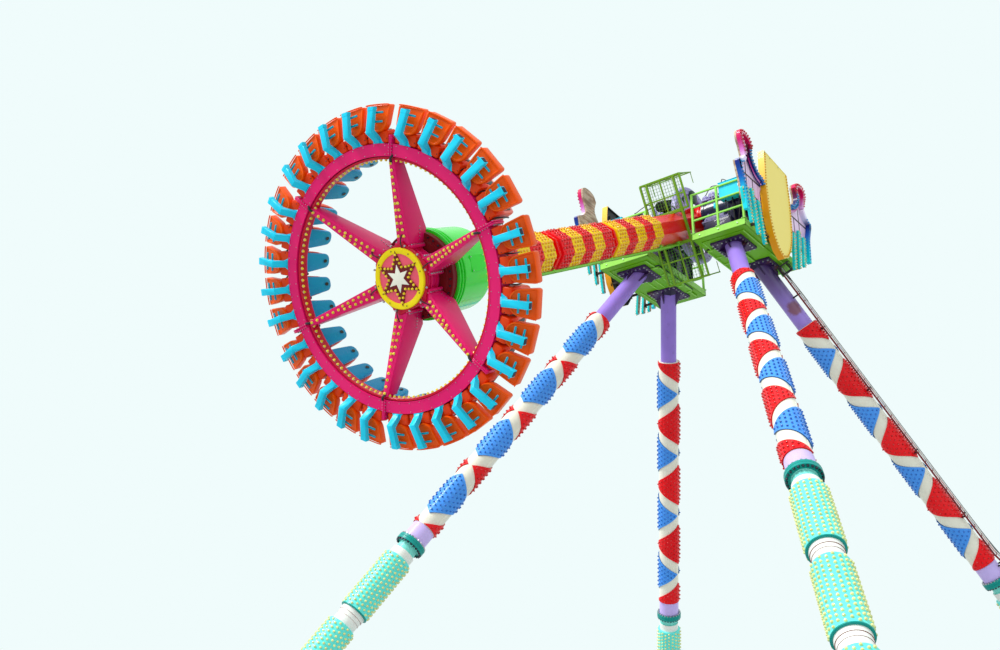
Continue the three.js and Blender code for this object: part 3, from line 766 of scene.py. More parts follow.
def diamond_studs(centre, half_turn, half_run, radius, pitch, low, high):
    """Places of the studs on one diamond, standing outward in rows that run along the leg."""
    places = []
    columns = max(3, round(tau * radius / (pitch * 0.76)))
    columns += columns % 2
    step = tau / columns
    for column in range(-columns // 2, columns // 2 + 1):
        turn = column * step
        shift = 0.5 * (column % 2)
        rows = int(half_run / pitch) + 1
        for row in range(-rows, rows + 1):
            run = (row + shift) * pitch
            shaded_edge = abs(turn) / (half_turn - 0.17) + abs(run) / (half_run - 0.045)
            if shaded_edge > 1 or not low + 0.03 < centre + run < high - 0.03:
                continue
            places.append(about_z(turn) @ at(radius, 0, centre + run) @ about_y(pi / 2))
    return places


def build_leg_sleeve(side, end, sizes):
    where = leg_frame(side, end)
    name = f"leg_{side}_{end}"
    base = Piece(f"{name}_sleeve_base", "cream_shell", "white_band")
    wall = SLEEVE_R - 0.002
    base.put(
        spun(
            [
                (TUBE_R + 0.002, S_SLEEVE), (wall - 0.008, S_SLEEVE), (wall, S_SLEEVE + 0.008),
                (wall, S_PURPLE - 0.009), (wall - 0.008, S_PURPLE - 0.001),
                (TUBE_R + 0.002, S_PURPLE - 0.001)
            ],
            64, closed=True
        ),
        where, 0
    )
    seam = pi / 2
    for turn in (seam, seam + pi):
        strip = block((0.012, 0.05, S_PURPLE - S_SLEEVE - 0.04), 0.003)
        middle = (S_PURPLE + S_SLEEVE) / 2
        base.put(strip, where @ about_z(turn) @ at(wall - 0.001, 0, middle), 0)
    base.make("tower", f"{name}_sleeve", "striped_shell")
    red_turn = bearing(where, RED_SIDE[side, end])
    stud = dome(sizes.leg_stud, sizes.leg_stud * 1.6)
    half_turn, half_run = SHELL_TURN, SHELL_RUN
    for hue, start, turn in (("red", 0.0, red_turn), ("blue", 0.5, red_turn + pi)):
        panels = Piece(f"{name}_{hue}_shells", f"{hue}_shell", f"{hue}_edge", f"{hue}_stud")
        spin = where @ about_z(turn)
        step = 0
        while True:
            centre = S_SLEEVE + (start + step) * DIAMOND
            step += 1
            if centre - half_run > S_PURPLE - 0.1:
                break
            low, high = S_SLEEVE + 0.012, S_PURPLE - 0.012
            panels.put(
                diamond_shell(
                    centre, half_turn, half_run, SLEEVE_R - 0.004, sizes.shell_lift + 0.004, low, high
                ),
                spin
            )
            places = diamond_studs(
                centre, half_turn, half_run, SLEEVE_R + sizes.shell_lift, sizes.leg_stud_pitch, low, high
            )
            panels.put(stud, [spin @ place for place in places], 2)
        panels.make("tower", (), "striped_shell")


def cut_level(bm, where, height):
    """Cuts away what stands above a height, and closes the cut; where places the bmesh's own frame."""
    back = where.inverted()
    point = back @ Vector((0, 0, height))
    normal = back.to_3x3() @ UP
    bmesh.ops.holes_fill(bm, edges=sliced(bm, point, normal, True), sides=0)
    faced_out(bm)


def build_leg_tube(side, end):
    where = leg_frame(side, end)
    name = f"leg_{side}_{end}"
    piece = Piece(
        f"{name}_upper", "leg_paint_marked" if (side, end) == ("near", "right") else "purple_paint",
        "plated_bolt", "haunch_marked", "lilac_band", "teal_edge"
    )
    bm = turned(
        [
            (0, -0.4), (TUBE_R, -0.4), (TUBE_R, S_PURPLE), (SLEEVE_R - 0.01, S_PURPLE + GAP),
            (SLEEVE_R, S_PURPLE + 0.01), (SLEEVE_R, S_JOINT - 0.078), (SLEEVE_R + 0.012, S_JOINT - 0.07),
            (JOINT_R - 0.006, S_JOINT - 0.07), (JOINT_R, S_JOINT - 0.064), (JOINT_R, S_JOINT - 0.006),
            (JOINT_R - 0.006, S_JOINT - GAP), (0, S_JOINT - GAP)
        ],
        64
    )
    for face in bm.faces:
        height = face.calc_center_median().z
        face.material_index = 0 if height < S_PURPLE else 3 if height < S_JOINT - 0.074 else 4
    cut_level(bm, where, DECK_Z - GAP)
    piece.put(Form(bm), where)
    seat = 0.45
    top = where.translation
    piece.put(block((2 * seat, 2 * seat, 0.07 - GAP), 0.008), at(top.x, top.y, DECK_Z - 0.035 - GAP), 2)
    fall = where.to_3x3() @ UP
    for direction in (ALONG, Vector((-1, 0, 0)), ACROSS, Vector((0, -1, 0))):
        normal = direction.cross(fall).normalized()
        fin = plate([(0, 0.04), (0.43, 0.045), (0.43, 0.07), (TUBE_R + 0.02, 0.42), (0, 0.42)], 0.036, 0.005)
        piece.put(fin, basis(direction, fall, normal, top - normal * 0.018), 2)
    nut = bolt(0.022)
    spots = []
    for i in range(-3, 4):
        for a, b in ((i * 0.13, -0.4), (i * 0.13, 0.4), (-0.4, i * 0.13), (0.4, i * 0.13)):
            spots.append(at(top.x + a, top.y + b, DECK_Z - 0.07 - GAP) @ about_x(pi))
    piece.put(nut, spots, 1)
    piece.put(bolt(0.024), [where @ m @ about_x(pi) for m in ring_of(24, JOINT_BOLTS, S_JOINT - 0.07)], 1)
    piece.make("tower", f"{name}_tube", "purple_paint")


def build_leg_lower(side, end, sizes):
    where = leg_frame(side, end)
    name = f"leg_{side}_{end}"
    piece = Piece(f"{name}_lower_tube", "mint_paint", "white_band", "cyan_sleeve", "teal_edge", "rust_line")
    bolts = Piece(f"{name}_joint_bolts", "dark_bolt", "plated_bolt")
    profile = [
        (0, S_JOINT), (JOINT_R - 0.006, S_JOINT), (JOINT_R, S_JOINT + 0.006), (JOINT_R, S_JOINT + 0.064),
        (JOINT_R - 0.006, S_JOINT + 0.07), (NECK_R + 0.012, S_JOINT + 0.07), (NECK_R, S_JOINT + 0.085),
        (NECK_R, S_BAND - 0.004), (BAND_R - 0.006, S_BAND), (BAND_R, S_BAND + 0.006), (BAND_R, S_BAND + 0.2)
    ]
    patches = [3, 3, 3, 3, 3, 0, 0, 0, 1, 1]
    for index, (low, high) in enumerate(LIT_RUNS):
        follow = LIT_RUNS[index + 1][0] if index + 1 < len(LIT_RUNS) else S_BASE
        steps = [
            (BAND_R, low, 1), (LIT_R - 0.01, low, 2), (LIT_R, low + 0.012, 2), (LIT_R, high - 0.035, 2),
            (LIT_R + 0.008, high - 0.03, 2), (LIT_R + 0.008, high - 0.006, 3), (LIT_R, high, 3),
            (BAND_R + 0.02, high, 3), (BAND_R + 0.02, high + 0.1, 1), (BAND_R + 0.008, high + 0.104, 4),
            (BAND_R + 0.008, high + 0.2, 1), (BAND_R, high + 0.203, 4), (BAND_R, follow - 0.004, 1)
        ]
        for radius, height, patch in steps:
            profile.append((radius, height))
            patches.append(patch)
    profile += [(BAND_R, LEG_LEN + 0.6), (0, LEG_LEN + 0.6)]
    patches += [1, 1]
    bands = [
        ((h0 + h1) / 2, (r0 + r1) / 2, patch) for (r0, h0), (r1, h1),
        patch in zip(profile, profile[1:], patches)
    ]
    bm = turned(profile, 64)
    for face in bm.faces:
        middle = face.calc_center_median()
        reach = sum(hypot(v.co.x, v.co.y) for v in face.verts) / len(face.verts)
        best = min(bands, key=lambda band: abs(band[0] - middle.z) + abs(band[1] - reach))
        face.material_index = best[2]
    back = where.inverted()
    rim = sliced(bm, back @ Vector((0, 0, 0.03)), back.to_3x3() @ -UP, True)
    bmesh.ops.holes_fill(bm, edges=rim, sides=0)
    piece.put(Form(bm), where)
    foot = where @ Vector((0, 0, LEG_LEN))
    lean = atan2(SIGN[side] * SPREAD_Y, SIGN[end] * SPREAD_X)
    turn = at(foot.x, foot.y, 0) @ about_z(lean)
    piece.box(turn, (1.5, 1.3, 0.06), (0, 0, 0.03), 0, 0.008)
    for k in (-1, 1):
        fin = plate([(-0.62, 0.01), (0.62, 0.01), (0.25, 0.43), (-0.64, 0.43)], 0.04, 0.006)
        piece.put(fin, turn @ at(0, k * 0.2 + 0.02, 0.05) @ about_x(pi / 2), 0)
    piece.make("tower", f"{name}_lower", "mint_paint")
    nut = bolt(0.024)
    bolts.put(nut, [where @ m for m in ring_of(24, JOINT_BOLTS, S_JOINT + 0.07)], 0)
    anchor = bolt(0.032, 0.04)
    corners = [at(a, b, 0.06) for a in (-0.66, -0.22, 0.22, 0.66) for b in (-0.56, 0.56)]
    corners += [at(a, 0, 0.06) for a in (-0.66, 0.66)]
    bolts.put(anchor, [turn @ m for m in corners], 1)
    bolts.make("tower", (), "mint_paint")
    lamps = Piece(f"{name}_bulbs", "cream_bulb")
    caps = dome(sizes.bulb, sizes.bulb * 1.2)
    places = []
    columns = round(tau * LIT_R / sizes.bulb_pitch)
    columns += columns % 2
    for low, high in LIT_RUNS:
        rows = int((high - low - 0.1) / sizes.bulb_pitch)
        for column in range(columns):
            for row in range(rows + 1):
                run = low + 0.05 + (row + 0.5 * (column % 2)) * (high - low - 0.12) / (rows + 0.5)
                if run < high - 0.04:
                    turn = tau * column / columns
                    places.append(where @ about_z(turn) @ at(LIT_R, 0, run) @ about_y(pi / 2))
    lamps.put(caps, places, 0)
    lamps.make("tower", (), "mint_paint")


def build_leg_ladder():
    """Ladder up the near right leg: a painted rail, a conduit with its cable, rungs, ties, top cage."""
    where = leg_frame("near", "right")
    piece = Piece(
        "leg_ladder_frame", "ladder_red", "white_conduit", "black_rubber", "black_paint", "plated_bolt",
        "green_paint"
    )
    close, clear, foot = 0.385, 0.48, LEG_LEN - 0.7
    runs = ((0.29, 9.5), (9.5, 10.0), (10.0, foot))

    def away(t):
        return slope(t, 9.5, 10.0, close, clear)

    for start, end in runs:
        a, b = Vector((-0.2, away(start), start - 0.01)), Vector((-0.2, away(end), end + 0.01))
        piece.bar(a, b, 0.03, 0.045, ALONG, 0, 0.005, where)
        shift = Vector((0.405, 0, 0))
        piece.rod(a + shift, b + shift, 0.026, 14, 1, where)
    cable = [
        (0.268 + 0.006 * (k % 2), away(t), t) for k,
        t in enumerate((0.35, 2.5, 5.0, 7.5, 9.5, 10.0, 12.0, 15.0, foot))
    ]
    piece.put(hose(cable, 0.03), where, 2)
    rung = drum(0.012, 0.4, 10, 0.0)
    spots = []
    for k in range(int((foot - 0.8) / 0.29)):
        t = 0.56 + 0.29 * k
        spots.append(where @ along(Vector((-0.2, away(t), t)), Vector((0.2, away(t), t))))
    piece.put(rung, spots, 0)
    for t in (1.2, 2.3, 4.3, 6.3, 8.3, 9.8, 12.33, 14.33, 16.3, 18.0):
        skin = TUBE_R if t < S_SLEEVE else SLEEVE_R if t < S_JOINT else BAND_R
        piece.bar(
            Vector((-0.225, away(t) - 0.03, t)), Vector((0.3, away(t) - 0.03, t)), 0.036, 0.02, UP, 3,
            0.004, where
        )
        for a in (-0.17, 0.17):
            end = Vector((a * 0.6, sqrt(skin * skin - a * a * 0.36), t))
            piece.bar(Vector((a, away(t), t)), end, 0.036, 0.036, UP, 3, 0.005, where)
        piece.put(
            bolt(0.014), [where @ at(a, away(t) - 0.015, t) @ about_x(-pi / 2) for a in (-0.2, 0.24)], 4
        )
    arc = [
        (r * cos(k * pi / 12), r * sin(k * pi / 12)) for r,
        ks in ((0.29, range(13)), (0.262, range(12, -1, -1))) for k in ks
    ]
    for t in (0.3, 0.53):
        piece.put(plate(arc, 0.045, 0.003), where @ at(0, close, t), 3)
        piece.bar(
            Vector((-0.285, close + 0.005, t + 0.02)), Vector((0.285, close + 0.005, t + 0.02)), 0.04, 0.04,
            UP, 3, 0.005, where
        )
    for turn in (0.0, pi / 3, pi * 2 / 3, pi):
        a, b = 0.273 * cos(turn), close + 0.273 * sin(turn)
        piece.put(block((0.012, 0.05, 0.28), 0.002), where @ at(a, b, 0.4375) @ about_z(turn), 3)
    for k in range(5):
        a = -0.1 + 0.075 * k
        route = [
            (0.24 + 0.012 * k, close + 0.02, 1.1 + 0.1 * k), (0.22, close + 0.03, 0.62),
            (a, close - 0.06, 0.42), (a * 0.8, close - 0.11, 0.3)
        ]
        piece.put(hose(route, 0.017), where, 2)
    for a in (-0.16, 0.16):
        piece.box(where, (0.03, 0.03, 0.26), (a, 0.34, 0.47), 5, 0.004)
    for c in (0.36, 0.58):
        piece.box(where, (0.35, 0.03, 0.03), (0, 0.34, c), 5, 0.004)
    piece.make("tower", "leg_ladder", "black_paint")


# The near right tube's paint: a brown smear, and painted shade towards the platform.
RECIPES["leg_paint_marked"] = lambda c: smeared_and_shaded(
    c.purple, [((leg_frame("near", "right") @ Vector((-0.20, 0.10, 1.45)))[:], 0.17)]
)


class RIDE_OT_legs(bpy.types.Operator):
    """Builds the four legs: tubes, striped sleeves with studs, bolted joints and lit sleeves"""

    bl_idname = "ride.legs"
    bl_label = "Legs"

    def execute(self, context):
        sizes = context.scene.ride_sizes
        for side, end in LEGS:
            build_leg_tube(side, end)
            build_leg_sleeve(side, end, sizes)
            build_leg_lower(side, end, sizes)
        build_leg_ladder()
        return {"FINISHED"}


# gondola: bearing, hub, spokes, ring, seats and cap

RING_D, RING_BACK, RING_R, RING_W, STRIP_W = 13.63, 13.33, 2.42, 0.213, 0.057
RIM_R = RING_R - RING_W - STRIP_W
HUB_D, HUB_R, DRUM_END = 13.25, 0.68, 12.62
SPOKE_PHASE = radians(22.9)
STAR_PHASE = radians(69.9)
SEAT_PITCH = radians(11.52)
SIXTH = tau / 6
SIDE_GAP = 0.0008  # angle left free at each end of a ring side


def radial(angle):
    """+X is the radius, +Y across it, +Z up the axis; heights are minus the distance down."""
    return HANG @ about_z(angle)


def side_view(outline, half, bevel=0.006, segments=1, rows=()):
    """A solid drawn from the side as (radius, -distance), its half width set by the radius and the height."""
    bm = bmesh.new()
    face = bm.faces.new([bm.verts.new((r, 0, z)) for r, z in outline])
    far = set(raised(bm, [face], (0, 0, 0)))
    for v in bm.verts:
        v.co.y = 0.5 if v in far else -0.5
    for point, normal in rows:
        sliced(bm, point, normal)
    for v in bm.verts:
        v.co.y *= 2 * half(v.co.x, v.co.z)
    faced_out(bm)
    rounded_off(bm, bevel, segments)
    return Form(bm)


def slope(value, low, high, start, end):
    return start + (end - start) * min(1.0, max(0.0, (value - low) / (high - low)))


def spoke_width(radius, _height=0.0):
    return slope(radius, 0.6, RIM_R, 0.14, 0.055)


def build_hub(sizes):
    piece = Piece("gondola_hub_and_spokes", "ring_paint", "strip_shell", "bearing_red", "pale_line")
    piece.put(
        spun(
            [
                (0.3, -12.62 - GAP), (0.812, -12.62 - GAP), (0.82, -12.63), (0.82, -12.75), (0.812, -12.76),
                (0.7, -12.76), (0.69, -12.775), (0.3, -12.775)
            ],
            96, closed=True
        ),
        HANG, 2
    )
    piece.put(spun([(0.2, -12.77), (0.52, -12.77), (0.52, -13.19), (0.2, -13.19)], 64, closed=True), HANG, 0)
    for height in (-12.83, -13.0, -13.13):
        piece.put(
            spun(
                [
                    (0.5, height), (0.545, height), (0.55, height - 0.02), (0.545, height - 0.04),
                    (0.5, height - 0.04)
                ],
                64, closed=True
            ),
            HANG, 0
        )
    corners = [(HUB_R * cos(SPOKE_PHASE + i * SIXTH), HUB_R * sin(SPOKE_PHASE + i * SIXTH)) for i in range(6)]
    piece.put(plate(corners, 0.075, 0.012, 2), HANG @ at(0, 0, -HUB_D), 1)
    spoke = side_view(
        [
            (0.5, -13.17), (0.62, -13.2), (RIM_R - 0.003, -13.616), (RIM_R - 0.003, -13.335), (0.9, -12.69),
            (0.5, -12.79)
        ],
        spoke_width, 0.01, 2, rows=[((1.1, 0, 0), (1, 0, 0)), ((1.6, 0, 0), (1, 0, 0))]
    )
    front = Vector((RIM_R - 0.62, 0, -13.616 + 13.2)).normalized()
    out = Vector((front.z, 0, -front.x))
    run = hypot(RIM_R - 0.62, 0.416)

    def on_front(along_run, across=0.0, proud=0.0):
        spot = Vector((0.62, across, -13.2)) + front * along_run + out * proud
        return Matrix.Translation(spot) @ basis(ACROSS.cross(out), ACROSS, out)

    face = plate([(0.1, -0.12), (run - 0.02, -0.044), (run - 0.02, 0.044), (0.1, 0.12)], 0.022, 0.004)
    lines = []
    for k in (-1, 1):
        lines.append(
            plate(
                [(0.0, k * 0.137), (run, k * 0.0565), (run, k * 0.0485), (0.0, k * 0.129)][:: k], 0.03,
                0.002
            )
        )
    root = side_view(
        [(0.575, -12.8), (0.625, -12.8), (0.625, -13.2), (0.575, -13.2)], lambda r, z: 0.2, 0.006
    )
    lamps = Piece("spoke_bulbs", "yellow_bulb", "bulb_foot")
    nuts = Piece("gondola_bolts", "plated_bolt", "dark_bolt")
    cables = Piece("gondola_cables", "black_rubber", "black_paint")
    cap, nut = dome(sizes.strip_bulb * 1.15, sizes.strip_bulb * 1.3, 10), bolt(sizes.bolt * 0.8)
    foot = drum(sizes.strip_bulb * 1.2, 0.006, 10, 0.0)
    for i in range(6):
        where = radial(SPOKE_PHASE + i * SIXTH)
        piece.put(spoke, where, 0)
        piece.put(face, where @ on_front(0.0), 1)
        for line in lines:
            piece.put(line, where @ on_front(0.0, proud=-0.006), 3)
        piece.put(root, where, 0)
        spots = []
        for k in range(12):
            reach = 0.16 + k * (run - 0.22) / 11
            wide = 0.062 - k * 0.006 if k < 6 else 0.0
            for across in ((-wide, wide) if wide else (0.0,)):
                spots.append(where @ on_front(reach + (0.014 if across > 0 else 0.0), across, 0.022))
        lamps.put(cap, [m @ at(0, 0, 0.004) for m in spots], 0)
        lamps.put(foot, spots, 1)
        for k in (-1, 1):
            for step in range(7):
                spot = at(0.625, k * 0.172, -12.83 - step * 0.057) @ about_y(pi / 2)
                nuts.put(nut, where @ spot, 0)
            for step in range(5):
                spot = at(0.7 + step * 0.06, k * spoke_width(0.7 + step * 0.06), -12.9)
                nuts.put(bolt(sizes.bolt * 0.5), where @ spot @ about_x(-k * pi / 2), 0)
        cables.put(
            hose(
                [
                    (0.54, 0.03, -HUB_D - 0.004), (0.6, 0.03, -HUB_D - 0.05), (0.68, 0.012, -HUB_D - 0.06),
                    (0.76, 0.0, -HUB_D - 0.03), (0.8, 0.0, -HUB_D)
                ],
                0.012
            ),
            where, 0
        )
    nuts.put(bolt(sizes.bolt), [HANG @ m @ about_x(pi) for m in ring_of(36, 0.765, -12.76)], 1)
    nuts.put(
        bolt(sizes.bolt), [HANG @ m @ about_x(pi) for m in ring_of(12, 0.61, -HUB_D, SPOKE_PHASE + 0.13)], 0
    )
    piece.make("gondola", "gondola_hub", "magenta_paint")
    for each in (lamps, nuts, cables):
        each.make("gondola", (), "magenta_paint")


def star_outline(tips, outer, inner, phase):
    points = []
    for i in range(tips * 2):
        radius = inner if i % 2 else outer
        angle = phase + pi * i / tips
        points.append((radius * cos(angle), radius * sin(angle)))
    return points


def build_cap(sizes):
    piece = Piece("gondola_cap_disc", "salmon_shell", "cap_yellow", "star_shell", "cream_shell")
    front = at(0, 0, -HUB_D) @ about_x(pi)
    where = HANG @ front
    piece.put(spun([(0, 0.0005), (0.52, 0.0005), (0.52, 0.026), (0.30, 0.034), (0, 0.038)], 96), where, 0)
    piece.put(
        spun(
            [
                (0.455, 0.001), (0.565, 0.001), (0.565, 0.036), (0.556, 0.046), (0.468, 0.052),
                (0.455, 0.044)
            ],
            96, closed=True
        ),
        where, 1
    )
    piece.put(plate(star_outline(6, 0.515, 0.235, -STAR_PHASE), 0.022, 0.005, 2), where @ at(0, 0, 0.034), 2)
    piece.put(plate(star_outline(6, 0.262, 0.118, -STAR_PHASE), 0.016, 0.005, 2), where @ at(0, 0, 0.055), 3)
    piece.make("gondola", "gondola_cap", "salmon_shell")
    lamps = Piece("cap_bulbs", "yellow_bulb", "bulb_foot")
    cap = dome(sizes.strip_bulb * 1.05, sizes.strip_bulb * 1.3, 10)
    spots = []
    outline = star_outline(6, 0.47, 0.262, -STAR_PHASE)
    for i, start in enumerate(outline):
        if i % 2 == 0:
            valleys = (outline[i - 1], outline[(i + 1) % len(outline)])
            spots.append(at(start[0] * 0.93, start[1] * 0.93, 0.057))
            for valley in valleys:
                inward = (valley[0] * 0.86, valley[1] * 0.86)
                for share in (0.36, 0.66, 0.96):
                    a = [s * 0.93 + (e - s * 0.93) * share for s, e in zip(start, inward)]
                    if share < 0.9 or valley is valleys[0]:
                        spots.append(at(a[0], a[1], 0.057))
    lamps.put(cap, [where @ m for m in spots], 0)
    lamps.make("gondola", (), "salmon_shell")
    screws = Piece("cap_screws", "dark_bolt")
    screws.put(bolt(0.009), [where @ m for m in ring_of(8, 0.512, 0.0485)], 0)
    screws.make("gondola", (), "salmon_shell")


def arc_bar(low_r, high_r, low, high, start, end, steps, bevel=0.006):
    """A ring sector, spun from its cross-section and closed at both ends."""
    bm = bmesh.new()
    section = [
        bm.verts.new((r, 0, z)) for r, z in ((low_r, low), (high_r, low), (high_r, high), (low_r, high))
    ]
    face = bm.faces.new(section)
    wheeled(bm, [face], end - start, steps)
    faced_out(bm)
    rounded_off(bm, bevel, 1, 60)
    bmesh.ops.rotate(bm, cent=(0, 0, 0), matrix=Matrix.Rotation(start, 3, "Z"), verts=bm.verts)
    return Form(bm)


def build_ring(sizes):
    lamps = Piece("ring_bulbs", "yellow_bulb", "bulb_foot")
    nuts = Piece("ring_bolts", "plated_bolt", "dark_bolt")
    joints = Piece("ring_splices", "ring_paint", "black_rubber", "plated_bolt")
    cap, nut, foot = dome(sizes.strip_bulb * 1.1, sizes.strip_bulb * 1.5, 10), bolt(0.012), drum(
        sizes.strip_bulb * 1.3, 0.008, 10, 0.0
    )
    box_girder = arc_bar(RING_R - RING_W, RING_R, -RING_D, -RING_BACK, SIDE_GAP, SIXTH - SIDE_GAP, 28, 0.008)
    strip = arc_bar(
        RIM_R, RING_R - RING_W - 0.014, -RING_D + 0.03, -RING_BACK - 0.09, SIDE_GAP, SIXTH - SIDE_GAP, 28,
        0.005
    )
    ledge = arc_bar(
        RING_R - RING_W - 0.02, RING_R - RING_W + 0.01, -RING_D + 0.05, -RING_BACK - 0.1, 0.0008,
        SIXTH - 0.0008, 28, 0.0
    )
    edges = [
        arc_bar(
            RING_R - RING_W - 0.003, RING_R - RING_W + 0.012, -RING_D - 0.004, -RING_D + 0.02, 0.001,
            SIXTH - 0.001, 28, 0.0
        ),
        arc_bar(
            RING_R - 0.012, RING_R + 0.003, -RING_D - 0.004, -RING_D + 0.02, 0.001, SIXTH - 0.001, 28, 0.0
        )
    ]
    flange = side_view(
        [
            (RING_R - RING_W, -RING_BACK + 0.03), (RING_R + 0.03, -RING_BACK + 0.03),
            (RING_R + 0.16, -RING_BACK - 0.02), (RING_R + 0.16, -RING_D - 0.028),
            (RING_R - RING_W + 0.01, -RING_D - 0.028)
        ],
        lambda r, z: 0.013, 0.004
    )
    for i in range(6):
        where = radial(SPOKE_PHASE + i * SIXTH)
        side = Piece(f"ring_side_{i + 1}", "ring_paint", "strip_shell", "shadow_line")
        side.put(box_girder, where, 0).put(strip, where, 1).put(ledge, where, 2)
        for shaded_edge in edges:
            side.put(shaded_edge, where, 0)
        side.make("gondola", f"gondola_side_{i + 1}", "magenta_paint")
        for k in range(20):
            angle = SPOKE_PHASE + i * SIXTH + (k + 0.5) * SIXTH / 20
            spot = radial(angle) @ at(RIM_R, 0, -RING_D + 0.085) @ about_y(-pi / 2)
            lamps.put(cap, spot @ at(0, 0, 0.006), 0)
            lamps.put(foot, spot, 1)
        for k in range(10):
            angle = SPOKE_PHASE + i * SIXTH + (k + 0.5) * SIXTH / 10
            for r in (RING_R - 0.03, RING_R - RING_W + 0.03):
                spot = radial(angle) @ at(r, 0, -RING_D) @ about_x(pi)
                nuts.put(bolt(0.007), spot, 0)
        for k in (-1, 1):
            joints.put(flange, where @ at(0, k * 0.0165, 0), 0)
            for step in range(6):
                spot = where @ at(RING_R + 0.105, k * 0.03, -RING_D + 0.03 + step * 0.052)
                joints.put(nut, spot @ about_x(-k * pi / 2), 2)
            for step in range(4):
                spot = where @ at(RING_R - 0.17 + step * 0.055, k * 0.03, -RING_D - 0.012)
                joints.put(bolt(0.008), spot @ about_x(-k * pi / 2), 2)
        joints.put(
            hose(
                [
                    (RIM_R - 0.06, 0.0, -RING_D + 0.05), (RIM_R - 0.02, 0.01, -RING_D - 0.03),
                    (RIM_R + 0.05, 0.03, -RING_D - 0.035), (RIM_R + 0.09, 0.05, -RING_D + 0.03)
                ],
                0.022
            ),
            where, 1
        )
    for each in (lamps, nuts, joints):
        each.make("gondola", (), "magenta_paint")


def rounded_outline(points, radii, steps=5):
    """Fillets each corner of an outline with its own radius."""
    out = []
    count = len(points)
    for i, (point, radius) in enumerate(zip(points, radii)):
        here, before, after = Vector(point), Vector(points[i - 1]), Vector(points[(i + 1) % count])
        if radius <= 0:
            out.append(tuple(here))
            continue
        a, b = (before - here), (after - here)
        half = a.angle(b) / 2
        reach = min(radius / tan(half), a.length * 0.49, b.length * 0.49)
        radius = reach * tan(half)
        centre = here + (a.normalized() + b.normalized()).normalized() * (radius / sin(half))
        start, end = here + a.normalized() * reach - centre, here + b.normalized() * reach - centre
        swing = start.angle_signed(end)
        for k in range(steps + 1):
            turn = -swing * k / steps
            c, s = cos(turn), sin(turn)
            out.append((centre.x + start.x * c - start.y * s, centre.y + start.x * s + start.y * c))
    return out


def seat_pan():
    """The bucket's underside, seen from below as a rounded U with a raised lip."""
    inner, outer = 2.615, 3.095
    outline = rounded_outline(
        [(inner, -0.205), (inner, 0.205), (outer, 0.275), (outer, -0.275)][::-1],
        [0.045, 0.045, 0.19, 0.19], 7
    )
    bm = bmesh.new()
    face = bm.faces.new([bm.verts.new((x, y, 0)) for x, y in outline])
    raised(bm, [face], (0, 0, 0.15))
    faced_out(bm)
    for way, width, depth in ((-1, 0.026, 0.0), (-1, 0.012, -0.014), (1, 0.026, 0.0), (1, 0.01, -0.05)):
        face = max((f for f in bm.faces if f.normal.z * way > 0.9), key=lambda f: f.calc_area())
        bmesh.ops.inset_region(bm, faces=[face], thickness=width, depth=depth, use_even_offset=True)
    rounded_off(bm, 0.01, 2, 50)
    tilt = atan2(13.645 - 13.56, 3.07 - 2.69)
    for v in bm.verts:
        v.co.z += -13.66 + (v.co.x - 2.66) * tan(tilt)
        if v.co.x > 2.99:
            v.co.z += (v.co.x - 2.99) ** 2 * 2.2
    return Form(bm)


def seat_back():
    """The tall back of the bucket, leaning in over the ring."""
    front = [
        (2.43, -13.615), (2.63, -13.63), (2.665, -13.42), (2.46, -12.8), (2.42, -12.68), (2.36, -12.66),
        (2.33, -12.78), (2.36, -13.1), (2.425, -13.36)
    ]
    rows = [((0, 0, z), (0, 0, 1)) for z in (-13.5, -13.3, -13.15, -13.0, -12.88, -12.76)]

    def wide(r, z):
        return min(slope(-z, 12.64, 12.84, 0.1, 0.165), 0.165) + slope(-z, 12.84, 13.3, 0.0, 0.065)

    return side_view(front, wide, 0.028, 3, rows)


def back_shell():
    """The blue tongue behind the seat back: flat face to the hub, rounded tip, softened edges."""
    bm = bmesh.new()
    outline = rounded_outline(
        [(-0.215, -13.36), (0.215, -13.36), (0.125, -12.66), (-0.125, -12.66)], [0.03, 0.03, 0.12, 0.12], 8
    )
    face = bm.faces.new([bm.verts.new((0, y, z)) for y, z in outline])
    raised(bm, [face], (0.105, 0, 0))
    faced_out(bm)
    for z in (-13.25, -13.1, -12.95, -12.8):
        sliced(bm, (0, 0, z), UP)
    rounded_off(bm, 0.03, 3, 50)
    for v in bm.verts:
        lean = slope(-v.co.z, 12.66, 13.36, 0.0, 1.0)
        v.co.x += 2.24 + 0.03 * lean + 0.085 * lean**2
    return Form(bm)


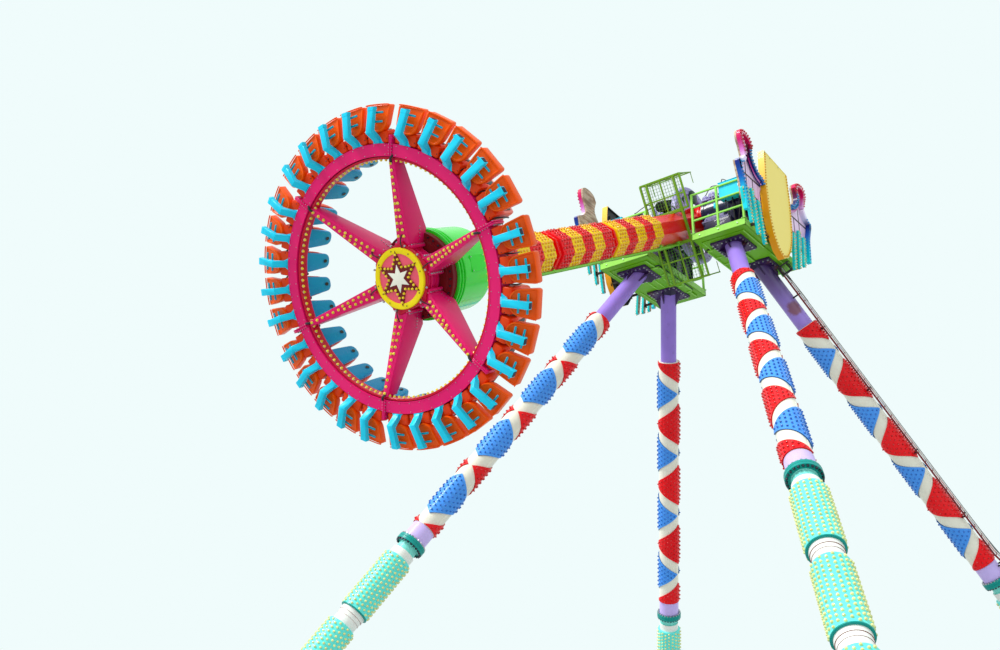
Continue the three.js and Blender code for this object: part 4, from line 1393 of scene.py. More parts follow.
def build_seats():
    bracket = side_view(
        [
            (2.43, -13.66), (2.475, -13.695), (2.6, -13.875), (3.045, -13.765), (3.045, -13.662),
            (2.655, -13.76), (2.525, -13.6), (2.43, -13.57)
        ],
        lambda r, z: 0.0625, 0.007
    )
    foot = side_view(
        [(RING_R, -13.62), (2.447, -13.62), (2.447, -13.48), (RING_R, -13.48)], lambda r, z: 0.115, 0.005
    )
    web = plate([(0, -0.11), (0.0, 0.11), (0.1, 0.066), (0.1, -0.066)], 0.022, 0.004)
    sleeve = side_view(
        [(2.99, -13.782), (3.058, -13.766), (3.058, -13.655), (2.99, -13.67)], lambda r, z: 0.0655, 0.004
    )
    plug = side_view(
        [(3.05, -13.756), (3.064, -13.753), (3.064, -13.668), (3.05, -13.672)], lambda r, z: 0.05, 0.004
    )
    crossbar = block((0.036, 0.34, 0.03), 0.006)
    lip = hose(
        [(3.085, 0.262, -13.565), (3.1, 0.24, -13.562), (3.1, -0.24, -13.562), (3.085, -0.262, -13.565)],
        0.012
    )
    pan, back, tongue = seat_pan(), seat_back(), back_shell()
    spot = spun([(0.0, 0.0), (0.03, 0.0), (0.034, 0.003), (0.034, 0.008), (0.0, 0.008)], 16)
    stem = hose([(2.36, 0.2, -13.36), (2.33, 0.24, -13.3), (2.32, 0.25, -13.2)], 0.012)
    knob = bulb(0.03)
    strut = hose([(2.5, 0.2, -13.62), (2.58, 0.26, -13.5), (2.6, 0.27, -13.3), (2.52, 0.25, -13.1)], 0.014)
    cushion = side_view(
        [(2.5, -13.56), (2.645, -13.5), (2.68, -13.42), (2.48, -12.84), (2.45, -12.84), (2.45, -13.1)],
        lambda r, z: slope(-z, 12.84, 13.3, 0.1, 0.165), 0.02, 2,
        [((0, 0, z), (0, 0, 1)) for z in (-13.3, -13.1)]
    )
    for i in range(6):
        shells = Piece(f"seats_{i + 1}", "seat_shell", "seat_deep", "back_shell", "black_rubber", "seat_pad")
        arms = Piece(f"seat_brackets_{i + 1}", "bracket_paint", "plug_shell", "plated_bolt", "crossbar_paint")
        for k in range(5):
            where = radial(SPOKE_PHASE + i * SIXTH + SIXTH / 2 + SEAT_PITCH * (k - 2))
            arms.put(bracket, where, 0).put(foot, where, 0).put(sleeve, where, 0).put(plug, where, 1)
            arms.put(web, where @ at(2.43, 0, -13.625), 0)
            for r, z in ((2.8, -13.665), (2.96, -13.628)):
                arms.put(crossbar, where @ at(r, 0, z) @ about_y(-0.2), 3)
            for a in (-0.09, 0.09):
                for z in (-13.6, -13.5):
                    arms.put(bolt(0.011), where @ at(2.447, a, z) @ about_y(pi / 2), 2)
            # The seat back takes the darker orange, which is painted shade.
            shells.put(pan, where, 0).put(lip, where, 0).put(back, where, 1).put(tongue, where, 2).put(
                cushion, where, 4
            )
            dot = where @ at(2.243, 0, -12.79) @ about_y(-pi / 2) @ Matrix.Diagonal((1.35, 1, 1, 1))
            shells.put(spot, dot, 3)
            shells.put(stem, where, 3).put(strut, where, 3)
            shells.put(knob, where @ at(2.32, 0.25, -13.22), 3)
        shells.make("gondola", f"gondola_side_{i + 1}", "seat_shell")
        arms.make("gondola", f"gondola_side_{i + 1}", "seat_shell")


RECIPES.update(
    {
        "ring_paint": lambda c: paint(c.ring, rough=0.3, coat=0.08, fade=0.25, dirt=0.22),
        "strip_shell": lambda c: shell(c.strip),
        "pale_line": lambda c: paint(mixed(c.ring, (0.9, 0.8, 0.85), 0.45)),
        "bearing_red": lambda c: paint(linear(118, 10, 22), rough=0.45, dirt=0.4),
        "shadow_line": lambda c: paint(linear(110, 6, 34), rough=0.5, dirt=0.4),
        "salmon_shell": lambda c: shell(c.salmon), "cap_yellow": lambda c: shell(linear(255, 226, 0)),
        "star_shell": lambda c: shell(c.star),
        "seat_shell": lambda c: shell(c.seat, coat=0.03, fade=0.2, dirt=0.1),
        "seat_deep": lambda c: shell(c.seat_deep, coat=0.03, fade=0.2, dirt=0.1),
        "seat_pad": lambda c: rubber((0.02, 0.02, 0.024), 0.6),
        "back_shell": lambda c: shell(c.back_shell, rough=0.25),
        "bracket_paint": lambda c: paint(c.bracket, rough=0.3, dirt=0.25),
        "plug_shell": lambda c: shell(c.plug),
        "crossbar_paint": lambda c: paint(linear(0, 168, 196), dirt=0.2)
    }
)


class RIDE_OT_hub(bpy.types.Operator):
    """Builds the bearing ring, hub, six lit spokes and the cap with its star"""

    bl_idname = "ride.hub"
    bl_label = "Hub, spokes and cap"

    def execute(self, context):
        build_hub(context.scene.ride_sizes)
        build_cap(context.scene.ride_sizes)
        return {"FINISHED"}


class RIDE_OT_ring(bpy.types.Operator):
    """Builds the ring's six sides with their bulbs and splices"""

    bl_idname = "ride.ring"
    bl_label = "Ring"

    def execute(self, context):
        build_ring(context.scene.ride_sizes)
        return {"FINISHED"}


class RIDE_OT_seats(bpy.types.Operator):
    """Builds the thirty seats with their brackets and back shells"""

    bl_idname = "ride.seats"
    bl_label = "Seats"

    def execute(self, context):
        build_seats()
        return {"FINISHED"}


# arm: beam, studded covers, balconies, ladder, drum, shaft and drives

BEAM_FLAT = 0.38
BEAM_CORNER = BEAM_FLAT / cos(pi / 8)
BEAM_TOP, BEAM_END = 0.35, 11.3
COVER_RUNS = ((3.08, 5.5), (5.76, 8.14), (8.46, 10.88))
COVER_BANDS = ("yryry", "ryryr", "yryry")
COVER_CORNER = BEAM_CORNER + 0.06
GEAR_LOW, GEAR_HIGH = 0.02, 0.18
BALCONY_D, BALCONY_W, BEARER_Y = 1.53, 0.6, 0.4104


def octagon(corner):
    return [(corner * cos(pi / 8 + i * pi / 4), corner * sin(pi / 8 + i * pi / 4)) for i in range(8)]


def down(x, y, distance):
    """A point of the arm: x across, y along the pivot, and its distance down from the pivot."""
    return Vector((x, y, -distance))


def build_beam():
    piece = Piece("arm_beam_tube", "beam_paint", "plated_bolt")
    piece.put(
        plate(octagon(BEAM_CORNER), BEAM_END - BEAM_TOP - 0.12, 0.008, 2),
        HANG @ at(0, 0, -BEAM_END + 0.12), 0
    )
    piece.put(plate(octagon(BEAM_CORNER + 0.12), 0.12, 0.01), HANG @ at(0, 0, -BEAM_END), 0)
    for gap in (5.63, 8.3):
        for k in (-1, 1):
            piece.put(
                plate(octagon(BEAM_CORNER + 0.05), 0.03, 0.005), HANG @ at(0, 0, -gap - 0.015 + k * 0.017),
                0
            )
        nut = bolt(0.013)
        for face in range(8):
            for step in (-0.1, 0.0, 0.1):
                spot = HANG @ about_z(face * pi / 4) @ at(BEAM_FLAT + 0.022, step, -gap + 0.032)
                piece.put(nut, spot, 1)
    lying = HANG @ about_x(pi / 2)
    piece.put(
        spun(
            [(0.221, -0.395), (0.44, -0.395), (0.45, -0.385), (0.45, 0.385), (0.44, 0.395), (0.221, 0.395)],
            72, closed=True
        ),
        lying, 0
    )
    for y in (-0.3, 0.3):
        piece.put(
            spun([(0.44, y - 0.04), (0.475, y - 0.03), (0.475, y + 0.03), (0.44, y + 0.04)], 72), lying, 0
        )
    for k in (-1, 1):
        for y in (-0.22, 0.22):
            web = plate([(0.3, -0.3), (0.47, -0.5), (0.372, -1.2), (0.3, -1.2)], 0.03, 0.004)
            piece.put(
                web, HANG @ basis(Vector((k, 0, 0)), UP, Vector((0, -k, 0)), Vector((0, y + 0.015 * k, 0))),
                0
            )
    piece.make("arm", "arm_beam", "red_paint")


def build_covers(sizes):
    stud = dome(sizes.cover_stud, sizes.cover_stud * 1.35)
    flat = COVER_CORNER * cos(pi / 8)
    for number, ((low, high), hues) in enumerate(zip(COVER_RUNS, COVER_BANDS)):
        piece = Piece(f"arm_cover_{number + 1}_shell", "yellow_shell", "red_shell", "yellow_stud", "red_stud")
        width = (high - low) / len(hues)
        for k, hue in enumerate(hues):
            start, end = low + k * width, low + (k + 1) * width
            band = plate(octagon(COVER_CORNER - 0.004), width - 0.004, 0.01, 2)
            piece.put(band, HANG @ at(0, 0, 0.002 - end), "yr".index(hue))
            rows = round(width / sizes.cover_stud_pitch)
            places = []
            for column in range(4):
                for row in range(rows - column % 2):
                    run = start + (row + 0.5 + 0.5 * (column % 2)) * width / rows
                    places.append(at(flat - 0.005, (column - 1.5) * 0.09, -run) @ about_y(pi / 2))
            for face in range(8):
                piece.put(stud, [HANG @ about_z(face * pi / 4) @ m for m in places], 2 + "yr".index(hue))
        piece.make("arm", f"arm_cover_{number + 1}", "yellow_shell")


def grating(piece, corner_low, corner_high, pitch, patch, where):
    """A walkway grid in the XY plane of where, between two corners."""
    (x0, y0), (x1, y1) = corner_low, corner_high
    for k in range(int((x1 - x0) / pitch) + 1):
        x = x0 + k * (x1 - x0) / int((x1 - x0) / pitch)
        piece.box(where, (0.006, y1 - y0, 0.028), (x, (y0 + y1) / 2, 0), patch, 0.0)
    for k in range(int((y1 - y0) / pitch) + 1):
        y = y0 + k * (y1 - y0) / int((y1 - y0) / pitch)
        piece.box(where, (x1 - x0, 0.005, 0.016), ((x0 + x1) / 2, y, 0.004), patch, 0.0)


def build_balconies():
    piece = Piece("arm_balcony_frames", "balcony_paint", "green_floor", "plated_bolt")

    def bar(start, end, width, depth, side=UP):
        piece.bar(start, end, width, depth, side, 0, 0.005, HANG)

    for s, far in ((-1, 1.36), (1, 1.46)):
        near, d, w = 0.44, BALCONY_D, BALCONY_W
        for x, size in ((far, 0.05), (near, 0.05), (0.85, 0.04)):
            bar(down(s * x, -w, d), down(s * x, w, d), size, size)
        for y in (-w, w):
            bar(down(s * near, y, d), down(s * far, y, d), 0.05, 0.05)
        bar(down(s * 0.412, 0, d), down(s * far, 0, d), 0.04, 0.04)
        bar(down(s * 0.4104, -0.44, d), down(s * 0.4104, 0.44, d), 0.06, 0.06)
        for y in (-w, 0, w):
            bar(down(s * far, y, d), down(s * far, y, d - 0.77), 0.034, 0.034, ACROSS)
        for h in (0.375, 0.75):
            bar(down(s * far, -w, d - h), down(s * far, w, d - h), 0.03, 0.03)
        for y in (-w, w):
            bar(down(s * far, y, d - 0.75), down(s * (far - 0.3), y, d - 0.75), 0.018, 0.018)
        toe = block((0.012, 2 * w, 0.1), 0.003)
        piece.put(toe, HANG @ at(s * (far + 0.02), 0, -d + 0.06), 1)
        lo, hi = sorted((s * (near + 0.03), s * (far - 0.03)))
        grating(piece, (lo, -w + 0.02), (hi, w - 0.02), 0.08, 1, HANG @ at(0, 0, -d + 0.03))
    for s in (-1, 1):
        bar(down(-1.36, s * BEARER_Y, BALCONY_D), down(1.46, s * BEARER_Y, BALCONY_D), 0.06, 0.08, ACROSS)
        for x in (-0.36, -0.12, 0.12, 0.36):
            spot = at(x, s * (BEARER_Y + 0.03), -BALCONY_D) @ about_x(-s * pi / 2)
            piece.put(bolt(0.014), HANG @ spot, 2)
    piece.make("arm", "arm_balconies", "green_paint")


def build_arm_ladder():
    piece = Piece("arm_ladder_rails", "green_paint", "plated_bolt", "black_rubber")
    for y in (-0.15, 0.15):
        piece.bar(down(0.47, y, BALCONY_D + 0.06), down(0.47, y, 11.1), 0.04, 0.04, ACROSS, 0, 0.005, HANG)
    rung = drum(0.013, 0.3, 10, 0.0)
    places = []
    for i in range(32):
        places.append(HANG @ along(down(0.47, -0.15, 1.8 + 0.3 * i), down(0.47, 0.15, 1.8 + 0.3 * i)))
    piece.put(rung, places, 0)
    for d in (1.8, 2.9, 5.63, 8.3, 11.03):
        for y in (-0.15, 0.15):
            piece.box(HANG, (0.11, 0.05, 0.05), (0.4354, y, -d), 0, 0.005)
            piece.box(HANG, (0.01, 0.1, 0.12), (0.386, y, -d), 0, 0.002)
    route = [
        (0.455, 0.24, -1.7), (0.455, 0.235, -3.0), (0.455, 0.24, -6.0), (0.455, 0.236, -9.0),
        (0.45, 0.24, -10.9), (0.5, 0.2, -11.25)
    ]
    piece.put(hose(route, 0.016), HANG, 2)
    piece.make("arm", "arm_ladder", "green_paint")


def build_drum():
    piece = Piece("arm_drum_shell", "drum_paint", "bearing_red", "plated_bolt")
    e = -DRUM_END
    profile = [
        (0.3, e), (0.85, e), (0.868, e + 0.012), (0.87, e + 0.05), (0.862, e + 0.06), (0.84, e + 0.064),
        (0.838, e + 0.092), (0.858, e + 0.097), (0.866, e + 0.11), (0.866, e + 0.14), (0.858, e + 0.153),
        (0.838, e + 0.158), (0.836, e + 0.187), (0.853, e + 0.192), (0.861, e + 0.205), (0.861, e + 0.235),
        (0.853, e + 0.248), (0.838, e + 0.254), (0.834, e + 0.28), (0.815, -11.56), (0.805, -11.5),
        (0.775, -11.46), (0.575, -11.32), (0.56, -BEAM_END - 0.001), (0.3, -BEAM_END - 0.001)
    ]
    piece.put(spun(profile, 96, closed=True), HANG, 0)
    piece.put(
        spun([(0.5, e - 0.0002), (0.74, e - 0.0002), (0.74, e + 0.01), (0.5, e + 0.01)], 96, closed=True),
        HANG, 1
    )
    hatch = plate(
        rounded_outline([(-0.16, -0.22), (0.16, -0.22), (0.16, 0.22), (-0.16, 0.22)][::-1], [0.03] * 4, 4),
        0.014, 0.004
    )
    for turn in (0.6, 2.7, 4.8):
        spot = HANG @ about_z(turn) @ at(0.818, 0, -11.95) @ about_y(pi / 2)
        piece.put(hatch, spot @ about_z(pi / 2), 0)
        for a in (-0.13, 0.13):
            for b in (-0.19, 0.19):
                piece.put(bolt(0.01), spot @ at(b, a, 0.012), 2)
    piece.make("arm", "arm_drum", "bright_green_paint")


def build_shaft():
    piece = Piece(
        "arm_shaft_and_gear", "lilac_paint", "steel_shaft", "motor_paint", "plated_bolt", "black_paint"
    )
    lying = HANG @ about_x(-pi / 2)
    piece.put(
        spun([(0, -1.4), (0.2, -1.4), (0.22, -1.38), (0.22, 1.38), (0.2, 1.4), (0, 1.4)], 64), lying, 1
    )
    low, high = GEAR_LOW, GEAR_HIGH
    piece.put(
        spun(
            [
                (0.88, low + 0.02), (0.9, low), (1.085, low), (1.11, low + 0.02), (1.11, high - 0.02),
                (1.085, high), (0.9, high), (0.88, high - 0.02)
            ],
            96, closed=True
        ),
        lying, 0
    )
    piece.put(
        spun(
            [
                (0.2, low + 0.01), (0.5, low + 0.01), (0.52, low + 0.03), (0.52, high - 0.03),
                (0.5, high - 0.01), (0.2, high - 0.01)
            ],
            72, closed=True
        ),
        lying, 0
    )
    arm = plate([(0.46, -0.13), (0.9, -0.1), (0.9, 0.1), (0.46, 0.13)], high - low - 0.03, 0.01)
    for k in range(8):
        piece.put(arm, lying @ about_z(k * tau / 8 + 0.2) @ at(0, 0, low + 0.015), 0)
    piece.put(bolt(0.016), [lying @ m for m in ring_of(40, 1.0, high)], 3)
    piece.put(bolt(0.016), [lying @ m @ about_x(pi) for m in ring_of(40, 1.0, low)], 3)
    piece.put(bolt(0.018), [lying @ m for m in ring_of(12, 0.42, high - 0.01)], 3)
    drive = spun(
        [
            (0, -0.04), (0.17, -0.04), (0.19, -0.03), (0.2, -0.01), (0.2, 0.03), (0.175, 0.035),
            (0.175, 0.2), (0.2, 0.21), (0.2, 0.24), (0.165, 0.25), (0.165, 0.38), (0.15, 0.42), (0.1, 0.44),
            (0, 0.44)
        ],
        36
    )
    fin = spun([(0.17, 0.0), (0.195, 0.003), (0.195, 0.011), (0.17, 0.014)], 36, closed=True)
    for x, d in ((0.78, 0.3), (-0.78, -0.3)):
        spot = HANG @ at(x, 0, -d) @ about_x(-pi / 2)
        piece.put(drive, spot, 2)
        for k in range(6):
            piece.put(fin, spot @ at(0, 0, 0.06 + k * 0.024), 2)
        piece.put(bolt(0.012), [spot @ m for m in ring_of(8, 0.12, 0.432)], 3)
        piece.box(spot, (0.16, 0.12, 0.12), (0.0, -0.2, 0.3), 4, 0.012, 2)
    piece.make("arm", "arm_shaft", "lilac_paint")


def build_motor():
    piece = Piece("arm_motor_and_gearbox", "motor_paint", "black_paint", "plated_bolt", "black_rubber")
    piece.box(HANG, (0.5, 0.2, 0.5), (-0.5, 0.29, -0.76), 0, 0.03, 3)
    piece.box(HANG, (0.16, 0.24, 0.58), (-0.46, 0.28, -0.76), 0, 0.02, 2)
    body = spun(
        [
            (0, -0.45), (0.13, -0.45), (0.15, -0.43), (0.155, -0.34), (0.135, -0.32), (0.135, 0.3),
            (0.16, 0.31), (0.16, 0.34), (0.14, 0.36), (0.12, 0.44), (0.05, 0.45), (0, 0.45)
        ],
        36
    )
    spot = HANG @ at(-0.7, 0.35, -0.75)
    piece.put(body, spot, 1)
    blade = block((0.03, 0.006, 0.56), 0.0)
    for k in range(20):
        piece.put(blade, spot @ about_z(k * tau / 20) @ at(0.146, 0, -0.01), 1)
    piece.box(HANG, (0.24, 0.12, 0.14), (-0.72, 0.41, -0.48), 0, 0.012, 2)
    piece.box(HANG, (0.16, 0.14, 0.03), (-0.72, 0.41, -0.4), 1, 0.006)
    for a, b in ((-0.2, -0.2), (-0.2, 0.2), (0.2, -0.2), (0.2, 0.2), (0, -0.2), (0, 0.2)):
        piece.put(bolt(0.016), HANG @ at(-0.5 + a, 0.39, -0.76 + b) @ about_x(-pi / 2), 2)
    piece.put(
        hose(
            [
                (-0.72, 0.46, -0.42), (-0.74, 0.44, -0.25), (-0.66, 0.3, -0.1), (-0.5, 0.26, -0.02),
                (-0.42, 0.2, 0.0)
            ],
            0.02
        ),
        HANG, 3
    )
    piece.put(
        hose([(-0.62, 0.2, -1.0), (-0.66, 0.1, -1.12), (-0.58, -0.05, -1.2), (-0.43, -0.1, -1.22)], 0.018),
        HANG, 3
    )
    piece.make("arm", "arm_motor", "black_paint")


RECIPES.update(
    {
        "beam_paint": lambda c: paint(c.beam, rough=0.28, coat=0.15, fade=0.1, dirt=0.1),
        "yellow_shell": lambda c: shell(c.yellow_shell, dirt=0.3),
        "yellow_stud": lambda c: lamp(linear(244, 176, 0)),
        "green_paint": lambda c: paint(c.green, dirt=0.25, chips=0.25),
        "balcony_paint": lambda c: paint(linear(118, 168, 34), dirt=0.3, chips=0.25),
        "green_floor": lambda c: paint(scaled(c.green, 0.55), rough=0.45, coat=0.1, dirt=0.4),
        "drum_paint": lambda c: paint(c.drum, rough=0.2, coat=0.4, fade=0.2, dirt=0.25),
        "lilac_paint": lambda c: paint(c.lilac, dirt=0.35, chips=0.3),
        "motor_paint": lambda c: paint(linear(24, 52, 40), rough=0.4, dirt=0.4, chips=0.3),
        "steel_shaft": lambda c: metal(linear(150, 150, 156), 0.3, 0.3)
    }
)


class RIDE_OT_arm(bpy.types.Operator):
    """Builds the arm: beam, studded covers, balconies, ladder, drum, shaft, gear disc and drives"""

    bl_idname = "ride.arm"
    bl_label = "Arm"

    def execute(self, context):
        build_beam()
        build_covers(context.scene.ride_sizes)
        for build in (build_balconies, build_arm_ladder, build_drum, build_shaft, build_motor):
            build()
        return {"FINISHED"}


# heads: haunches, bearing housings, cradles, caps, platforms, railings and cabinets

HOUSING_R, COLLAR_R = 0.55, 0.6
CRADLE_Z = -0.595
FLOOR_Z = 0.2 - DECK_DROP
DECK_X, DECK_Y0, DECK_Y1 = 1.61, 0.67, 2.2
SEAT_HALF = 0.5754  # half a leg seat on the platform, with its clearance
BOX_X, BOX_Y0, BOX_Y1 = 0.9504, 0.7246, 1.9404  # the head box that the platform is cut round
RAIL_H = 1.2
RAIL_X = DECK_X - 0.04


def head_frame(side):
    """Pivot at the origin, +X with the ride, +Y outward to this side, +Z up; the sides mirror."""
    return Matrix.Translation(PIVOT) @ Matrix.Diagonal((1, SIGN[side], 1, 1))


def build_head(side):
    where = head_frame(side)
    piece = Piece(f"head_{side}_frame", "head_paint", "plated_bolt", "dark_bolt", "navy_paint")
    nut = bolt(0.022)
    for sx in (-1, 1):
        x, y, z = sx * LEG_X, LEG_Y, -DECK_DROP
        piece.box(where, (1.15, 1.15, 0.06), (x, y, z + 0.03), 0, 0.008)
        spots = []
        for i in range(-3, 4):
            for a, b in ((i * 0.155, -0.485), (i * 0.155, 0.485), (-0.485, i * 0.155), (0.485, i * 0.155)):
                spots.append(where @ at(x + a, y + b, z + 0.06))
        piece.put(nut, spots, 1)
        up = Vector((-sx * SPREAD_X, -SPREAD_Y, 1)).normalized()
        start = Vector((x, y, z + 0.03))
        bar_frame = along(start, start + up, ALONG)
        bm = bmesh.new()
        bmesh.ops.create_cube(bm, size=1.0)
        bmesh.ops.scale(bm, vec=(0.62, 0.62, 1.4), verts=bm.verts)
        bmesh.ops.translate(bm, vec=(0, 0, 0.7), verts=bm.verts)
        cut_level(bm, bar_frame, CRADLE_Z - 0.025 - GAP)
        rounded_off(bm, 0.02, 2)
        piece.put(Form(bm), where @ bar_frame, 0)
        for k in (-1, 1):
            web = plate([(0.25, 0), (0.5, 0), (0.22, 0.35), (0.05, 0.35)], 0.03, 0.004)
            piece.put(
                web,
                where @ basis(
                    Vector((sx, 0, 0)), UP, Vector((0, -sx, 0)), Vector((x, y + k * 0.2, z + 0.06))
                ),
                0
            )
    piece.box(where, (1.9, 0.775, 0.84), (0, 1.1125, -DECK_DROP + 0.39), 0, 0.012, 2)
    piece.box(where, (0.9, 0.48, 1.4), (0, 1.7, -DECK_DROP + 0.7), 0, 0.012, 2)
    for x in (-0.9, -0.45, 0.0, 0.45, 0.9):
        piece.box(where, (0.03, 0.05, 0.56), (x, 0.705, -0.92), 0, 0.004)
    piece.box(where, (1.9, 0.06, 0.04), (0, 0.705, -0.66), 0, 0.004)
    lying = where @ about_x(-pi / 2)
    piece.put(
        spun(
            [
                (0.2205, 0.45), (0.28, 0.43), (0.34, 0.43), (0.35, 0.445), (0.5, 0.445), (0.51, 0.43),
                (0.54, 0.43), (HOUSING_R, 0.44), (HOUSING_R, 0.52), (0.535, 0.53), (0.535, 0.6),
                (HOUSING_R, 0.61), (HOUSING_R, 1.5), (COLLAR_R - 0.008, 1.5), (COLLAR_R, 1.508),
                (COLLAR_R, 1.552), (COLLAR_R - 0.01, 1.556), (COLLAR_R - 0.01, 1.564), (COLLAR_R, 1.568),
                (COLLAR_R, 1.612), (COLLAR_R - 0.008, 1.62), (HOUSING_R, 1.62), (HOUSING_R, 1.92),
                (0.53, 1.95), (0.3, 1.95), (0.29, 1.965), (0.14, 1.965), (0.12, 1.95), (0, 1.95), (0, 1.45),
                (0.2205, 1.45)
            ],
            72, closed=True
        ),
        lying, 3
    )
    piece.put(bolt(0.02), [lying @ m for m in ring_of(20, 0.46, 1.95)], 2)
    piece.put(bolt(0.018), [lying @ m @ about_x(pi) for m in ring_of(24, 0.43, 0.445)], 2)
    piece.put(bolt(0.016), [lying @ m for m in ring_of(30, 0.573, 1.62)], 2)
    for turn in (-2.6, -0.55):
        rib = plate([(0.0, 0.0), (0.24, 0.0), (0.2, 0.08), (0.0, 0.5)], 0.03, 0.004)
        spot = at(0.535 * cos(turn), 1.68, 0.535 * sin(turn))
        piece.put(rib, where @ spot @ about_y(-turn), 3)
    eye = spun([(0.035, -0.012), (0.047, 0.0), (0.035, 0.012), (0.023, 0.0)], 16, closed=True)
    for y in (0.72 + 0.3, 1.75):
        piece.put(eye, where @ at(0.0, y, HOUSING_R + 0.035) @ about_x(pi / 2), 2)
        piece.put(drum(0.03, 0.025, 12, 0.004), where @ at(0.0, y, HOUSING_R - 0.012), 2)
    piece.make("tower", f"head_{side}", "dark_purple_paint")


def build_cradle(side):
    where = head_frame(side)
    piece = Piece(f"cradle_{side}_frame", "cradle_paint", "dark_bolt", "plated_bolt")
    piece.box(where, (1.9, 0.8, 0.05), (0, 1.05, CRADLE_Z), 0, 0.006)
    nut = bolt(0.024, 0.03)
    spots = []
    for i in range(13):
        x = -0.88 + i * 1.76 / 12
        for y in (0.69, 1.41):
            spots.append(where @ at(x, y, CRADLE_Z + 0.025))
    for i in range(5):
        for x in (-0.88, 0.88):
            spots.append(where @ at(x, 0.78 + i * 0.13, CRADLE_Z + 0.025))
    piece.put(nut, spots, 1)
    for sx in (-1, 1):
        piece.box(where, (0.33, 0.52, 0.23), (sx * 0.64, 0.98, -0.47), 0, 0.02, 2)
        piece.box(where, (0.36, 0.1, 0.03), (sx * 0.64, 0.98, -0.345), 0, 0.006)
        for a in (-0.1, 0.1):
            piece.put(bolt(0.028, 0.04), where @ at(sx * 0.64 + a, 0.98, -0.33), 1)
        for y in (0.68, 1.38):
            wedge = plate([(-0.12, 0), (0.3, 0), (0.3, 0.05), (0.02, 0.42), (-0.06, 0.42)], 0.05, 0.006)
            axes = basis(
                Vector((sx, 0, 0)), UP, Vector((0, -sx, 0)), Vector((sx * 0.56, y + sx * 0.025, -0.57))
            )
            piece.put(wedge, where @ axes, 0)
    piece.make("tower", f"cradle_{side}", "lilac_paint")


def build_caps(side):
    where = head_frame(side)
    piece = Piece(f"caps_{side}_pots", "cap_lilac", "dark_bolt", "navy_paint", "black_rubber")
    arc = [
        (HOUSING_R + 0.002, 0.0), (0.582, 0.0), (0.59, 0.008), (0.59, 0.172), (0.582, 0.18),
        (HOUSING_R + 0.002, 0.18)
    ]
    bm = turned(arc, 40, True, radians(130))
    bmesh.ops.holes_fill(bm, edges=[e for e in bm.edges if e.is_boundary], sides=0)
    faced_out(bm)
    lying = where @ at(0, 0.64, 0) @ about_x(-pi / 2) @ about_z(radians(-155))
    piece.put(Form(bm), lying, 0)
    for sx in (-1, 1):
        piece.box(where, (0.15, 0.66, 0.04), (sx * 0.47, 0.8, 0.33), 0, 0.006)
        for y, r, h in ((0.56, 0.09, 0.14), (0.79, 0.13, 0.19), (1.05, 0.08, 0.33)):
            pot = spun(
                [
                    (0, 0.0), (r * 0.9, 0.0), (r, 0.008), (r, h * 0.22), (r * 0.93, h * 0.25),
                    (r * 0.93, h * 0.5), (r * 0.97, h * 0.53), (r * 0.97, h * 0.62), (r * 0.9, h * 0.75),
                    (r * 0.7, h * 0.9), (r * 0.35, h * 0.98), (0, h)
                ],
                32
            )
            spot = where @ at(sx * 0.45, y, 0.345)
            piece.put(pot, spot, 0)
            piece.put(drum(0.022, 0.04, 12, 0.005), spot @ at(0, 0, h - 0.012), 1)
            piece.put(bolt(0.009), [spot @ m for m in ring_of(8, r * 0.965, h * 0.22)], 1)
    for x, y, z, r, h in (
        (-0.78, 1.3, 0.1, 0.07, 0.3), (-0.92, 1.32, 0.1, 0.05, 0.24), (-0.84, 1.46, 0.1, 0.045, 0.34),
        (-0.7, 1.44, 0.1, 0.04, 0.2)
    ):
        piece.put(drum(r, h, 20, 0.012), where @ at(x, y, z), 2)
        piece.put(drum(r * 0.55, 0.05, 12, 0.006), where @ at(x, y, z + h - 0.01), 2)
    piece.box(where, (0.42, 0.34, 0.05), (-0.8, 1.38, 0.085), 2, 0.008)
    piece.box(where, (0.05, 0.05, 0.62), (-0.8, 1.38, -0.23), 2, 0.006)
    for start, bend, end in (
        ((-0.45, 0.56, 0.5), (-0.6, 0.9, 0.66), (-0.78, 1.3, 0.42)),
        ((-0.45, 1.05, 0.68), (-0.66, 1.2, 0.74), (-0.84, 1.46, 0.46))
    ):
        route = [start, ((start[0] + bend[0]) / 2, (start[1] + bend[1]) / 2, bend[2]), bend, end]
        piece.put(hose(route, 0.012), where, 3)
    piece.make("tower", f"caps_{side}", "lilac_paint")


